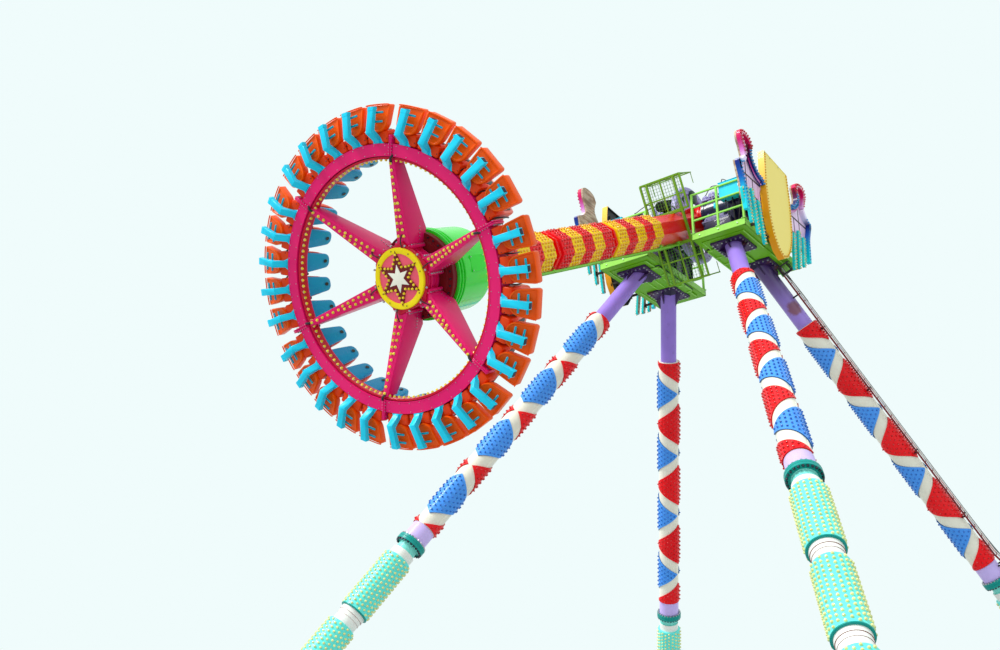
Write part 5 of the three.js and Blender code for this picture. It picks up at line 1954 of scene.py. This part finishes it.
def build_deck(side):
    where = head_frame(side)
    piece = Piece(f"deck_{side}_floor", "deck_floor", "deck_paint", "plated_bolt", "deck_shade", "deck_under")
    middle, width = (DECK_Y0 + DECK_Y1) / 2, DECK_Y1 - DECK_Y0
    low = -DECK_DROP
    bm = bmesh.new()
    xs = sorted(
        {
            -DECK_X + 0.02, DECK_X - 0.02, *(sx * LEG_X + k * SEAT_HALF for sx in (-1, 1) for k in (-1, 1)),
            -BOX_X, BOX_X
        }
    )
    ys = sorted({DECK_Y0 + 0.02, DECK_Y1 - 0.02, BOX_Y0, BOX_Y1, LEG_Y - SEAT_HALF, LEG_Y + SEAT_HALF})
    corners = {(x, y): bm.verts.new((x, y, 0)) for x in xs for y in ys}
    for x0, x1 in zip(xs, xs[1:]):
        for y0, y1 in zip(ys, ys[1:]):
            cx, cy = (x0 + x1) / 2, (y0 + y1) / 2
            on_plate = abs(abs(cx) - LEG_X) < SEAT_HALF and abs(cy - LEG_Y) < SEAT_HALF
            if on_plate or (abs(cx) < BOX_X and BOX_Y0 < cy < BOX_Y1):
                continue
            bm.faces.new([corners[spot] for spot in ((x0, y0), (x1, y0), (x1, y1), (x0, y1))])
    bmesh.ops.delete(bm, geom=[v for v in bm.verts if not v.link_faces], context="VERTS")
    raised(bm, bm.faces[:], (0, 0, 0.04))
    faced_out(bm)
    piece.put(Form(bm), where @ at(0, 0, low + 0.16), 0)
    for y in (DECK_Y0 + 0.012, DECK_Y1 - 0.012):
        lean = 1 if y < middle else -1
        piece.box(where, (2 * DECK_X, 0.024, 0.18), (0, y, low + 0.11), 1, 0.005)
        piece.box(where, (2 * DECK_X - 0.02, 0.07, 0.014), (0, y + lean * 0.03, low + 0.027), 1, 0.003)
    for sx in (-1, 1):
        piece.box(where, (0.024, width, 0.18), (sx * (DECK_X - 0.012), middle, low + 0.11), 1, 0.005)
        piece.box(where, (0.07, width - 0.02, 0.014), (sx * (DECK_X - 0.042), middle, low + 0.027), 1, 0.003)
    edge_y = (DECK_Y0 + 0.03, BOX_Y0)
    for x in (-1.35, -0.27, 0.27, 1.35):
        piece.box(
            where, (0.012, 0.86 - DECK_Y0 if abs(x) > 1 else 0.05, 0.13),
            (x, (DECK_Y0 + 0.86) / 2 if abs(x) > 1 else sum(edge_y) / 2, low + 0.095), 3, 0.003
        )
    for x in (-1.1, -0.55, 0.0, 0.55, 1.1):
        piece.box(where, (0.05, DECK_Y1 - 2.03, 0.13), (x, (DECK_Y1 + 2.02) / 2, low + 0.095), 3, 0.004)
    for sx in (-1, 1):
        for y in (0.95, 1.44, 1.95):
            piece.box(where, (0.2, 0.05, 0.13), (sx * 1.485, y, low + 0.095), 3, 0.004)
        piece.box(where, (0.16, 0.05, 0.15), (sx * 0.12, LEG_Y + 0.56, low + 0.09), 3, 0.004)
    for x in (-1.5, -0.75, 0.0, 0.75, 1.5):
        for y in (DECK_Y0, DECK_Y1):
            turn = pi / 2 if y == DECK_Y0 else -pi / 2
            piece.put(bolt(0.014), where @ at(x, y, low + 0.11) @ about_x(turn), 2)
    for sx in (-1, 1):
        for y in (0.9, 1.44, 1.98):
            piece.put(bolt(0.014), where @ at(sx * DECK_X, y, low + 0.11) @ about_y(sx * pi / 2), 2)
    piece.box(where, (1.9, 0.775, 0.012), (0, 1.1125, low - 0.037), 4, 0.003)
    piece.box(where, (2 * DECK_X - 0.06, width - 0.06, 0.01), (0, middle, low + 0.012), 4, 0.002)
    piece.box(where, (2.78, 1.19, 0.012), (0, LEG_Y, low - 0.007), 4, 0.002)
    for sx in (-1, 1):
        for y in (LEG_Y - 0.58, LEG_Y + 0.58):
            piece.box(where, (1.19, 0.03, 0.03), (sx * LEG_X, y, low - 0.02), 1, 0.003)
    for x in (-0.92, -0.46, 0.0, 0.46, 0.92):
        piece.box(where, (0.04, 0.19, 0.03), (x, 0.825, low - 0.055), 1, 0.004)
    for y in (0.745, 1.0, 1.25, 1.48):
        piece.box(where, (1.88 if y < 0.9 else 0.5, 0.03, 0.03), (0, y, low - 0.055), 1, 0.004)
    piece.make("tower", f"deck_{side}", "green_paint")


def build_railing(side):
    where = head_frame(side)
    piece = Piece(f"railing_{side}_bars", "rail_paint", "plated_bolt")
    foot, near, middle, far = FLOOR_Z + GAP, DECK_Y0 + 0.04, (DECK_Y0 + DECK_Y1) / 2, DECK_Y1 - 0.04
    posts = [
        (-RAIL_X, near), (-RAIL_X, middle), (-RAIL_X, far), (0, far), (RAIL_X, far), (RAIL_X, middle),
        (RAIL_X, near)
    ]
    for x, y in posts:
        piece.box(where, (0.058, 0.058, RAIL_H - 0.004), (x, y, foot + RAIL_H / 2), 0, 0.006)
        piece.box(where, (0.12, 0.12, 0.012), (x, y, foot + 0.006), 0, 0.003)
        for a in (-0.045, 0.045):
            for b in (-0.045, 0.045):
                piece.put(bolt(0.009), where @ at(x + a, y + b, foot + 0.012), 1)
    for h in (RAIL_H - 0.025, RAIL_H * 0.66, RAIL_H * 0.33):
        z = foot + h
        for x in (-RAIL_X, RAIL_X):
            piece.bar(Vector((x, near, z)), Vector((x, far, z)), 0.046, 0.046, UP, 0, 0.006, where)
        piece.bar(Vector((-RAIL_X, far, z)), Vector((RAIL_X, far, z)), 0.046, 0.046, UP, 0, 0.006, where)
    piece.make("tower", f"railing_{side}", "green_paint")


def build_cabinet(side):
    where = head_frame(side)
    piece = Piece(f"cabinet_{side}_box", "cabinet_paint", "plated_bolt", "black_rubber", "white_conduit")
    x, y, z = -RAIL_X + 0.1504, 1.805, -0.19
    spot = where @ at(x, y, z)
    piece.put(block((0.24, 0.636, 0.466), 0.014, 2), spot, 0)
    for face in (-1, 1):
        piece.box(spot, (0.012, 0.6, 0.43), (face * 0.122, 0, 0), 0, 0.005)
        for b in (-0.15, 0.15):
            piece.put(drum(0.01, 0.07, 10, 0.003), spot @ at(face * 0.128, -0.3, b - 0.035), 1)
        piece.box(spot, (0.012, 0.02, 0.08), (face * 0.132, 0.25, 0), 1, 0.004)
    piece.box(spot, (0.27, 0.66, 0.012), (0, 0, 0.238), 0, 0.004)
    for b in (-0.2, 0.0, 0.2):
        piece.put(drum(0.022, 0.05, 12, 0.004), spot @ at(0.02, b, -0.28), 2)
        route = [
            (0.02, b, -0.26), (0.02, b, -0.5), (0.06, b * 0.6, -0.8), (0.12, b * 0.4, -1.0),
            (0.16, b * 0.2, -1.03)
        ]
        piece.put(hose(route, 0.013), spot, 2)
    piece.box(where, (0.09, 0.06, 0.16), (x + 0.02, 1.3, -0.5), 0, 0.012, 2)
    piece.box(where, (0.012, 0.012, 0.34), (-RAIL_X + 0.02, 1.3, -0.3), 1, 0.003)
    piece.make("tower", f"cabinet_{side}", "cyan_paint")


def marked_paint(tint, rust):
    """Head paint with the brownish smears that sit above the legs."""
    f = Finish()
    cloud = f.noise(0.9, 3)
    fine = f.noise(24.0, 4)
    paler = mixed(scaled(tint, 1.35), (0.5, 0.45, 0.6), 0.1)
    base = f.blend(cloud.ramp(0.35, 0.7) * 0.35, tint, paler)
    base = f.blend(cloud.ramp(0.6, 0.3) * 0.4, base, scaled(tint, 0.55))
    smear = f.noise(1.0, 5, f.mapped((3.0, 3.0, 1.0))).ramp(0.52, 0.68) * f.noise(6.0, 4).ramp(0.4, 0.7)
    base = f.blend(smear * rust, base, mixed(RUST, DIRT, 0.5))
    f.bump(fine, 0.12, 0.004)
    return f.set(
        Base_Color=base, Roughness=(fine * 0.16 + 0.3 + smear * 0.25), Coat_Weight=0.2,
        Specular_IOR_Level=SHEEN
    )


def tread(tint):
    """Painted chequer plate: short raised bars, dust trodden in between."""
    f = Finish()
    rows = []
    for turn in (0.785, -0.785):
        wave = f.node("ShaderNodeTexWave", {}, {"Vector": f.mapped(turn=(0, 0, turn)), "Scale": 14.0})
        rows.append(Number(f, wave.outputs["Fac"]).ramp(0.7, 0.9))
    bars = rows[0].most(rows[1])
    fine = f.noise(25.0, 4)
    dust = f.noise(2.0, 4).ramp(0.45, 0.7) * 0.35
    base = f.blend(dust, tint, mixed(DIRT, tint, 0.4))
    base = f.blend(bars * 0.25, base, scaled(tint, 1.3))
    f.bump(bars + fine * 0.3, 0.35, 0.004)
    return f.set(Base_Color=base, Roughness=(fine * 0.15 + 0.4 + dust * 0.4), Specular_IOR_Level=SHEEN)


RECIPES.update(
    {
        "head_paint": lambda c: marked_paint(linear(36, 22, 66), 0.5),
        "haunch_marked": lambda c: marked_paint(c.haunch, 0.9),
        "lilac_band": lambda c: paint(linear(206, 184, 246), dirt=0.2),
        "navy_paint": lambda c: paint(c.navy, rough=0.24, coat=0.4, dirt=0.3),
        "cradle_paint": lambda c: paint(scaled(c.lilac, 0.6), dirt=0.35, chips=0.3),
        "cap_lilac": lambda c: paint(c.lilac, rough=0.25, coat=0.35, dirt=0.25),
        "deck_floor": lambda c: tread(scaled(c.green, 0.7)),
        "deck_paint": lambda c: paint(mixed(c.green, linear(190, 245, 120), 0.35), dirt=0.25, chips=0.25),
        "deck_under": lambda c: paint(linear(112, 186, 22), dirt=0.3, chips=0.2),
        "deck_shade": lambda c: paint(scaled(c.green, 0.55), dirt=0.35, chips=0.3),
        "rail_paint": lambda c: paint(mixed(c.green, linear(180, 245, 120), 0.35), dirt=0.2, chips=0.3),
        "cabinet_paint": lambda c: paint(c.cabinet, dirt=0.15)
    }
)


class RIDE_OT_heads(bpy.types.Operator):
    """Builds the two heads of the tower with their bearings, platforms, railings and cabinets"""

    bl_idname = "ride.heads"
    bl_label = "Heads and platforms"

    def execute(self, context):
        for side in SIDES:
            for build in (build_head, build_cradle, build_caps, build_deck, build_railing, build_cabinet):
                build(side)
        return {"FINISHED"}


# signs: blank boards between scroll wings, with their bulbs

SIGN_Y = {"near": 2.29, "far": 2.49}
BOARD = [
    (-0.66, 1.15), (0.72, 1.03), (0.77, 0.2), (0.7, -0.8), (0.56, -1.3), (0.3, -1.68), (0, -1.83),
    (-0.3, -1.68), (-0.56, -1.3), (-0.7, -0.8), (-0.76, 0.2)
]
# Wing outline from the pivot's centre, outward and up: curl, corner, outer side, inner side and the hook
CURL = [
    (1.3, 0.95), (1.4, 1.12), (1.6, 1.2), (1.83, 1.2), (1.97, 1.11), (1.98, 0.9), (1.87, 0.66), (1.8, 0.46)
]
CORNER = [(1.8, 0.46), (1.93, 0.29), (2.2, 0.14)]
OUTER = [(2.2, 0.14), (2.13, -0.12), (2.01, -0.45), (1.97, -0.8), (1.93, -1.19)]
INNER = [(0.8, -0.9), (0.85, -0.25), (0.77, -0.08), (0.73, 0.06)]
HOOK = [(0.73, 0.06), (0.81, 0.19), (1.05, 0.25), (1.22, 0.38), (1.36, 0.56), (1.38, 0.72), (1.3, 0.95)]
# Feathers of a wing: top and tip of the centre line, and width
FEATHERS = (
    ((1.98, -0.62), (1.865, -1.185), 0.12), ((1.72, -0.5), (1.565, -1.42), 0.145),
    ((1.42, -0.42), (1.22, -1.61), 0.155), ((1.08, -0.62), (0.89, -1.76), 0.15)
)


def smoothed(points, steps=5):
    """A curve through the points, as a denser list of points."""
    out = []
    for i in range(len(points) - 1):
        p0, p1, p2, p3 = (Vector(points[max(0, min(len(points) - 1, i + k))]) for k in (-1, 0, 1, 2))
        for s in range(steps):
            t = s / steps
            out.append(
                tuple(
                    0.5
                    * (
                        2 * p1 + (p2 - p0) * t + (2 * p0 - 5 * p1 + 4 * p2 - p3) * t * t
                        + (3 * p1 - p0 - 3 * p2 + p3) * t**3
                    )
                )
            )
    return out + [tuple(points[-1])]


def beside(points, distance):
    """The points moved to the left of their run by a distance."""
    out = []
    for i, point in enumerate(points):
        run = (Vector(points[min(i + 1, len(points) - 1)]) - Vector(points[max(i - 1, 0)])).normalized()
        out.append((point[0] - run.y * distance, point[1] + run.x * distance))
    return out


def ribbon(points, width, thick, bevel=0.01):
    """A flat band along points, lying on their left side."""
    bm = bmesh.new()
    near = [bm.verts.new((*p, 0)) for p in points]
    far = [bm.verts.new((*p, 0)) for p in beside(points, width)]
    for i in range(len(points) - 1):
        bm.faces.new((near[i], near[i + 1], far[i + 1], far[i]))
    raised(bm, bm.faces[:], (0, 0, thick))
    faced_out(bm)
    rounded_off(bm, bevel, 1, 50)
    return Form(bm)


def spaced(points, pitch, height, skip=0.0):
    """Places along points at equal distances, +Z off the sheet."""
    places, walked, due = [], 0.0, skip
    for a, b in zip(points, points[1:]):
        a, b = Vector(a), Vector(b)
        run = (b - a).length
        while due <= walked + run:
            spot = a.lerp(b, (due - walked) / run)
            places.append(at(spot.x, spot.y, height))
            due += pitch
        walked += run
    return places


def sheet_frame(side, end, back):
    """+X outward from the board's middle, +Y up, +Z off the outer face, the origin on the back."""
    sx, sy = SIGN[end], SIGN[side]
    return basis(Vector((sx, 0, 0)), UP, Vector((0, sy, 0)), Vector((PIVOT.x, sy * back, PIVOT.z)))


def stay_bars(piece, side, x, reach, patch):
    """Two stays from the railing's top rail and the platform's edge to a sheet's back."""
    where = head_frame(side)
    for start, z in ((DECK_Y1 - 0.015, FLOOR_Z + RAIL_H - 0.025), (DECK_Y1, 0.11 - DECK_DROP)):
        run = reach - start - GAP
        piece.box(where, (0.058, run, 0.058), (x, start + GAP + run / 2, z), patch, 0.005)
        piece.box(where, (0.14, 0.012, 0.14), (x, start + run - 0.004, z), patch, 0.003)


def build_sign(side):
    where = sheet_frame(side, "right", SIGN_Y[side])
    piece = Piece(
        f"sign_{side}_board", "board_face", "board_edge", "board_bulb", "board_back", "sign_steel",
        "plated_bolt"
    )
    bm = bmesh.new()
    face = outline_face(bm, BOARD)
    raised(bm, [face], (0, 0, 0.18))
    faced_out(bm)
    for face in bm.faces:
        front = face.calc_center_median().z > 0.1
        face.material_index = (0 if front else 3) if abs(face.normal.z) > 0.5 else 1
    for hue, width, depth in ((0, 0.012, 0.0), (0, 0.006, -0.01), (3, 0.03, 0.0), (3, 0.004, -0.05)):
        wide = [f for f in bm.faces if f.material_index == hue and f.calc_area() > 1]
        bmesh.ops.inset_region(bm, faces=wide, thickness=width, depth=depth)
    piece.put(Form(bm), where)
    right = [(0.665, 1.0), (0.715, 0.2), (0.645, -0.79), (0.51, -1.27), (0.27, -1.63), (0.0, -1.765)]
    left = [(-0.61, 1.08), (-0.705, 0.2), (-0.645, -0.79), (-0.51, -1.27), (-0.27, -1.63), (0.0, -1.765)]
    lamp_form = bulb(0.026)
    for line in (left, right):
        piece.put(lamp_form, [where @ m for m in spaced(smoothed(line), 0.088, 0.17, 0.03)], 2)
    for a, b in ((-0.62, 1.1), (0.68, 0.99), (-0.3, 1.07), (0.2, 1.03)):
        piece.put(bolt(0.014), where @ at(a, b, 0.17), 5)
    for b in (-1.2, -0.6, 0.0, 0.6):
        half = 0.5 if b < -1 else 0.68
        piece.box(where, (2 * half, 0.04, 0.04), (0, b, 0.03), 4, 0.004)
    for a in (-0.5, 0.5):
        piece.box(where, (0.05, 2.05, 0.04), (a, -0.13, 0.025), 4, 0.004)
        stay_bars(piece, side, a, SIGN_Y[side] + 0.03, 4)
    piece.make("tower", f"sign_{side}", "yellow_board")


def feather_outline(top, tip, width):
    top, tip = Vector(top), Vector(tip)
    run = (tip - top).normalized()
    across = Vector((-run.y, run.x))
    half = width / 2
    points = []
    for k in range(9):
        turn = pi * k / 8
        points.append(tuple(top + across * half * cos(turn) - run * half * sin(turn)))
    for k in range(7):
        turn = pi * k / 6
        points.append(tuple(tip + run * half * 0.8 * (sin(turn) - 1) - across * half * 0.75 * cos(turn)))
    return points


def build_wing(side, end, sizes):
    back = SIGN_Y[side] - 0.02
    where = sheet_frame(side, end, back)
    name = f"wing_{side}_{end}"
    thick = 0.17
    sheet = Piece(
        f"{name}_sheet", "wing_mesh", "wing_back", "wing_rim", "wing_hook", "wing_dark", "feather_paint",
        "sign_steel", "wing_shade"
    )
    outline = smoothed(CURL, 3)[:-1] + smoothed(CORNER, 3)[:-1] + smoothed(OUTER[:4], 3) + [
        (1.93, -0.86), (0.82, -0.86)
    ]
    outline += smoothed(INNER, 3)[:-1] + smoothed(HOOK, 4)[:-1]
    sheet.put(plate(outline, 0.05, 0.0, hues=(0, 1, 1)), where)
    left = smoothed(CURL)
    front = where @ at(0, 0, 0.05)
    hook = smoothed(HOOK, 6)
    corner = smoothed(CORNER + OUTER[1:2])
    for line, width, hue in ((left, 0.13, 2), (corner, 0.12, 2), (smoothed(OUTER), 0.12, 2), (hook, 0.12, 3)):
        sheet.put(ribbon(line, -width, thick - 0.05), front, hue)
    inner_line = beside(hook, -0.12)
    sheet.put(ribbon(inner_line, -0.07, 0.01, 0.0), where @ at(0, 0, 0.111), 7)
    # Painted shade: a dark ribbon in the curl, between its two rims.
    sheet.put(
        ribbon([(1.3, 0.95), (1.44, 0.98), (1.56, 0.88), (1.6, 0.7), (1.58, 0.5)], -0.16, 0.02, 0.0),
        where @ at(0, 0, 0.105), 4
    )
    for top, tip, width in FEATHERS:
        sheet.put(plate(feather_outline(top, tip, width), 0.08, 0.016, 2, (5, 5, 1)), where @ at(0, 0, 0.04))
    for a, b, run in ((1.6, 0.3, 1.2), (1.25, -0.45, 0.9)):
        sheet.box(where, (0.045, run, 0.045), (a, b, 0.03), 6, 0.004)
    for b, a0, a1 in ((0.0, 0.8, 2.05), (-0.5, 0.9, 1.95), (0.75, 1.4, 1.9)):
        sheet.box(where, (a1 - a0, 0.045, 0.045), ((a0 + a1) / 2, b, 0.035), 6, 0.004)
    stay_bars(sheet, side, SIGN[end] * 1.3, back + 0.04, 6)
    sheet.make("tower", name, "wing_shell")
    lamps = Piece(
        f"{name}_bulbs", "rose_bulb", "red_bulb", "blue_bulb", "cream_bulb", "orange_bulb", "bulb_foot"
    )
    form = bulb(sizes.sign_bulb)
    inside, shaded_edge = beside(left, -0.1), beside(left, -0.03)
    lamps.put(form, [where @ m for m in spaced(inside, 0.1, thick, 0.05)], 0)
    lamps.put(form, [where @ m for m in spaced(shaded_edge, 0.1, thick, 0.02)], 1)
    for offset in (-0.025, -0.095):
        row = spaced(beside(hook, offset), 0.095, thick, 0.02)
        high = [m for m in row if m.translation.y > 0.78]
        lamps.put(form, [where @ m for m in row if m.translation.y <= 0.78], 2)
        if high:
            lamps.put(form, [where @ m for m in high], 1)
    for line, skip in ((OUTER, 0.05), (CORNER, 0.3)):
        lamps.put(form, [where @ m for m in spaced(beside(smoothed(line), -0.09), 0.095, thick, skip)], 2)
    small = bulb(sizes.sign_bulb * 0.75)
    for top, tip, width in FEATHERS:
        line = feather_outline(top, tip, width - 0.06)
        rows = spaced(line + line[:1], 0.088, 0.12, 0.03)
        lamps.put(small, [where @ m for m in rows[::2]], 3)
        lamps.put(small, [where @ m for m in rows[1::2]], 4)
    lamps.make("tower")


def by_height(stops, streak=0.0, rough=0.28, mesh=0.0):
    """Shell whose colour changes with the height, painted shade on the wings' two narrow ribbons; stops are
    (height, colour) upward.
    """
    f = Finish()
    low, high = stops[0][0], stops[-1][0]
    share = (f.height() + (f.noise(1.6, 2) - 0.5) * 0.12 - (PIVOT.z + low)) / (high - low)
    tint = f.node(
        "ShaderNodeValToRGB", {"stops": [((level - low) / (high - low), hue) for level, hue in stops]},
        {0: share}
    ).outputs[0]
    fine = f.noise(32.0, 3)
    if streak:
        runs = f.noise(1.0, 5, f.mapped((16.0, 16.0, 0.9)))
        tint = f.blend(runs.ramp(0.5, 0.66) * streak, tint, linear(252, 244, 252))
        tint = f.blend(runs.ramp(0.46, 0.36) * streak, tint, linear(196, 96, 176))
    f.bump(f.cells(38.0) * mesh + fine * 0.2, 0.3 if mesh else 0.12, 0.006)
    return f.set(Base_Color=tint, Roughness=(fine * 0.12 + rough), Coat_Weight=0.2, Specular_IOR_Level=SHEEN)


def bare_back():
    """Weathered boards and bare shell, as the signs show from behind."""
    f = Finish()
    grain = f.noise(1.0, 6, f.mapped((2.0, 2.0, 14.0)))
    cloud = f.noise(1.4, 4)
    base = f.blend(grain.ramp(0.35, 0.65), linear(158, 124, 98), linear(214, 190, 164))
    base = f.blend(cloud.ramp(0.5, 0.75) * 0.6, base, linear(84, 62, 50))
    f.bump(grain, 0.3, 0.006)
    return f.set(Base_Color=base, Roughness=(grain * 0.2 + 0.6))


RECIPES.update(
    {
        "board_face": lambda c: shell(c.board, coat=0.03, fade=0.15, dirt=0.05, wave=0.05),
        "board_edge": lambda c: by_height(
            [(-1.85, scaled(c.board_edge, 0.85)), (-0.6, c.board_edge), (1.2, linear(255, 205, 70))]
        ),
        "board_back": lambda c: rubber((0.02, 0.02, 0.022), 0.6),
        "board_bulb": lambda c: lamp(linear(245, 180, 20)),
        "sign_steel": lambda c: paint(linear(58, 50, 44), rough=0.5, coat=0.0, dirt=0.5, chips=0.5),
        "wing_rim": lambda c: by_height(
            [
                (-1.2, linear(0, 214, 226)), (-0.7, linear(0, 190, 226)), (-0.3, linear(0, 96, 196)),
                (0.1, linear(10, 20, 120)), (0.2, linear(214, 214, 246)), (0.42, linear(240, 214, 246)),
                (0.6, linear(222, 120, 210)), (0.85, linear(214, 20, 110)), (1.2, linear(206, 0, 46))
            ]
        ),
        "wing_hook": lambda c: by_height(
            [
                (0.0, linear(0, 80, 170)), (0.2, linear(0, 44, 130)), (0.6, linear(10, 14, 86)),
                (0.8, linear(120, 0, 70)), (0.98, linear(206, 0, 46))
            ]
        ),
        # Painted shade for the curl's ribbon between the rims.
        "wing_dark": lambda c: by_height(
            [(0.4, linear(120, 20, 90)), (0.7, linear(60, 0, 26)), (1.0, linear(80, 0, 20))]
        ),
        "wing_shade": lambda c: by_height(
            [(0.0, linear(226, 150, 210)), (0.3, linear(190, 40, 130)), (0.7, linear(150, 10, 90))]
        ),
        "wing_mesh": lambda c: by_height(
            [
                (-1.2, linear(120, 60, 120)), (-0.7, linear(226, 170, 214)), (0.2, linear(232, 206, 236)),
                (0.6, linear(240, 220, 242))
            ],
            streak=0.5, mesh=1.0
        ),
        "wing_back": lambda c: bare_back(),
        "feather_paint": lambda c: shell(linear(20, 214, 216), fade=0.2, dirt=0.15),
        "rose_bulb": lambda c: lamp(linear(255, 206, 220)),
        "orange_bulb": lambda c: lamp(linear(250, 196, 96))
    }
)


class RIDE_OT_signs(bpy.types.Operator):
    """Builds the blank sign boards and their scroll wings with all bulbs"""

    bl_idname = "ride.signs"
    bl_label = "Sign boards and wings"

    def execute(self, context):
        sizes = context.scene.ride_sizes
        for side in SIDES:
            build_sign(side)
            for end in ENDS:
                build_wing(side, end, sizes)
        return {"FINISHED"}


# stage: floor, light and camera

LENS = 39.79  # focal length in millimetres, on a picture 36 mm wide
EYE_PLACE = Vector((-24.62682, -12.64404, -15.11374))  # from the pivot
EYE_RIGHT = Vector((0.61870812, -0.78551859, 0.01268058))
EYE_UP = Vector((-0.32397049, -0.24040204, 0.91501365))
SUNS = (
    ("key", Vector((0.588, -0.303, -0.80)), 3.0, 20.0), ("fill", Vector((0.75, 0.50, 0.30)), 0.35, 80.0)
)

class RIDE_OT_stage(bpy.types.Operator):
    """Lays the pale floor, sets the soft lights and the camera at the photograph's angle"""

    bl_idname = "ride.stage"
    bl_label = "Floor, light and camera"

    def execute(self, context):
        scene = context.scene
        bm = bmesh.new()
        bmesh.ops.create_grid(bm, x_segments=8, y_segments=8, size=90.0)
        bmesh.ops.translate(bm, vec=(0, 0, -0.002), verts=bm.verts)
        mesh = bpy.data.meshes.new("floor")
        bm.to_mesh(mesh)
        bm.free()
        floor = bpy.data.objects.new("floor", mesh)
        scene.collection.objects.link(floor)
        f = Finish()
        tint = f.blend(f.noise(0.6, 3).ramp(0.3, 0.7), linear(172, 174, 174), linear(164, 166, 167))
        f.set(Base_Color=tint, Roughness=0.85)
        mesh.materials.append(f.material)
        world = bpy.data.worlds.new("studio")
        world.use_nodes = True
        back = world.node_tree.nodes["Background"]
        back.inputs[0].default_value = (*linear(240, 252, 252), 1.0)
        back.inputs[1].default_value = 1.0
        scene.world = world
        for name, direction, power, spread in SUNS:
            light = bpy.data.lights.new(name, "SUN")
            light.energy = power
            light.angle = radians(spread)
            lamp_object = bpy.data.objects.new(name, light)
            lamp_object.matrix_world = along(Vector((0, 0, 0)), -direction)
            lamp_object.location = PIVOT - direction.normalized() * 30
            scene.collection.objects.link(lamp_object)
        camera = bpy.data.cameras.new("camera")
        camera.sensor_width = 36.0
        camera.sensor_fit = "HORIZONTAL"
        camera.lens = LENS
        camera.clip_end = 500.0
        holder = bpy.data.objects.new("camera", camera)
        holder.matrix_world = basis(EYE_RIGHT, EYE_UP, EYE_RIGHT.cross(EYE_UP), PIVOT + EYE_PLACE)
        scene.collection.objects.link(holder)
        scene.camera = holder
        scene.view_settings.view_transform = "Standard"
        return {"FINISHED"}


OPERATORS = [
    RIDE_OT_stage, RIDE_OT_legs, RIDE_OT_hub, RIDE_OT_ring, RIDE_OT_seats, RIDE_OT_arm, RIDE_OT_heads,
    RIDE_OT_signs
]


class RIDE_PT_panel(bpy.types.Panel):
    """Lists the ride's pieces, its sizes and its colours"""

    bl_label = "Giant pendulum ride"
    bl_idname = "RIDE_PT_panel"
    bl_space_type = "VIEW_3D"
    bl_region_type = "UI"
    bl_category = "Ride"

    def draw(self, context):
        for maker in OPERATORS:
            self.layout.operator(maker.bl_idname)
        for group in (context.scene.ride_sizes, context.scene.ride_colours):
            box = self.layout.box()
            for key in group.bl_rna.properties.keys():
                if key not in ("rna_type", "name"):
                    box.prop(group, key)


CLASSES = [RideSizes, RideColours, *OPERATORS, RIDE_PT_panel]


def register():
    for each in CLASSES:
        bpy.utils.register_class(each)
    bpy.types.Scene.ride_sizes = bpy.props.PointerProperty(type=RideSizes)
    bpy.types.Scene.ride_colours = bpy.props.PointerProperty(type=RideColours)


def unregister():
    del bpy.types.Scene.ride_sizes
    del bpy.types.Scene.ride_colours
    for each in reversed(CLASSES):
        bpy.utils.unregister_class(each)


def main():
    for leftover in ("Cube", "Light", "Camera"):
        if leftover in bpy.data.objects:
            bpy.data.objects.remove(bpy.data.objects[leftover])
    register()
    for maker in OPERATORS:
        group, action = maker.bl_idname.split(".")
        getattr(getattr(bpy.ops, group), action)()


if __name__ == "__main__":
    main()
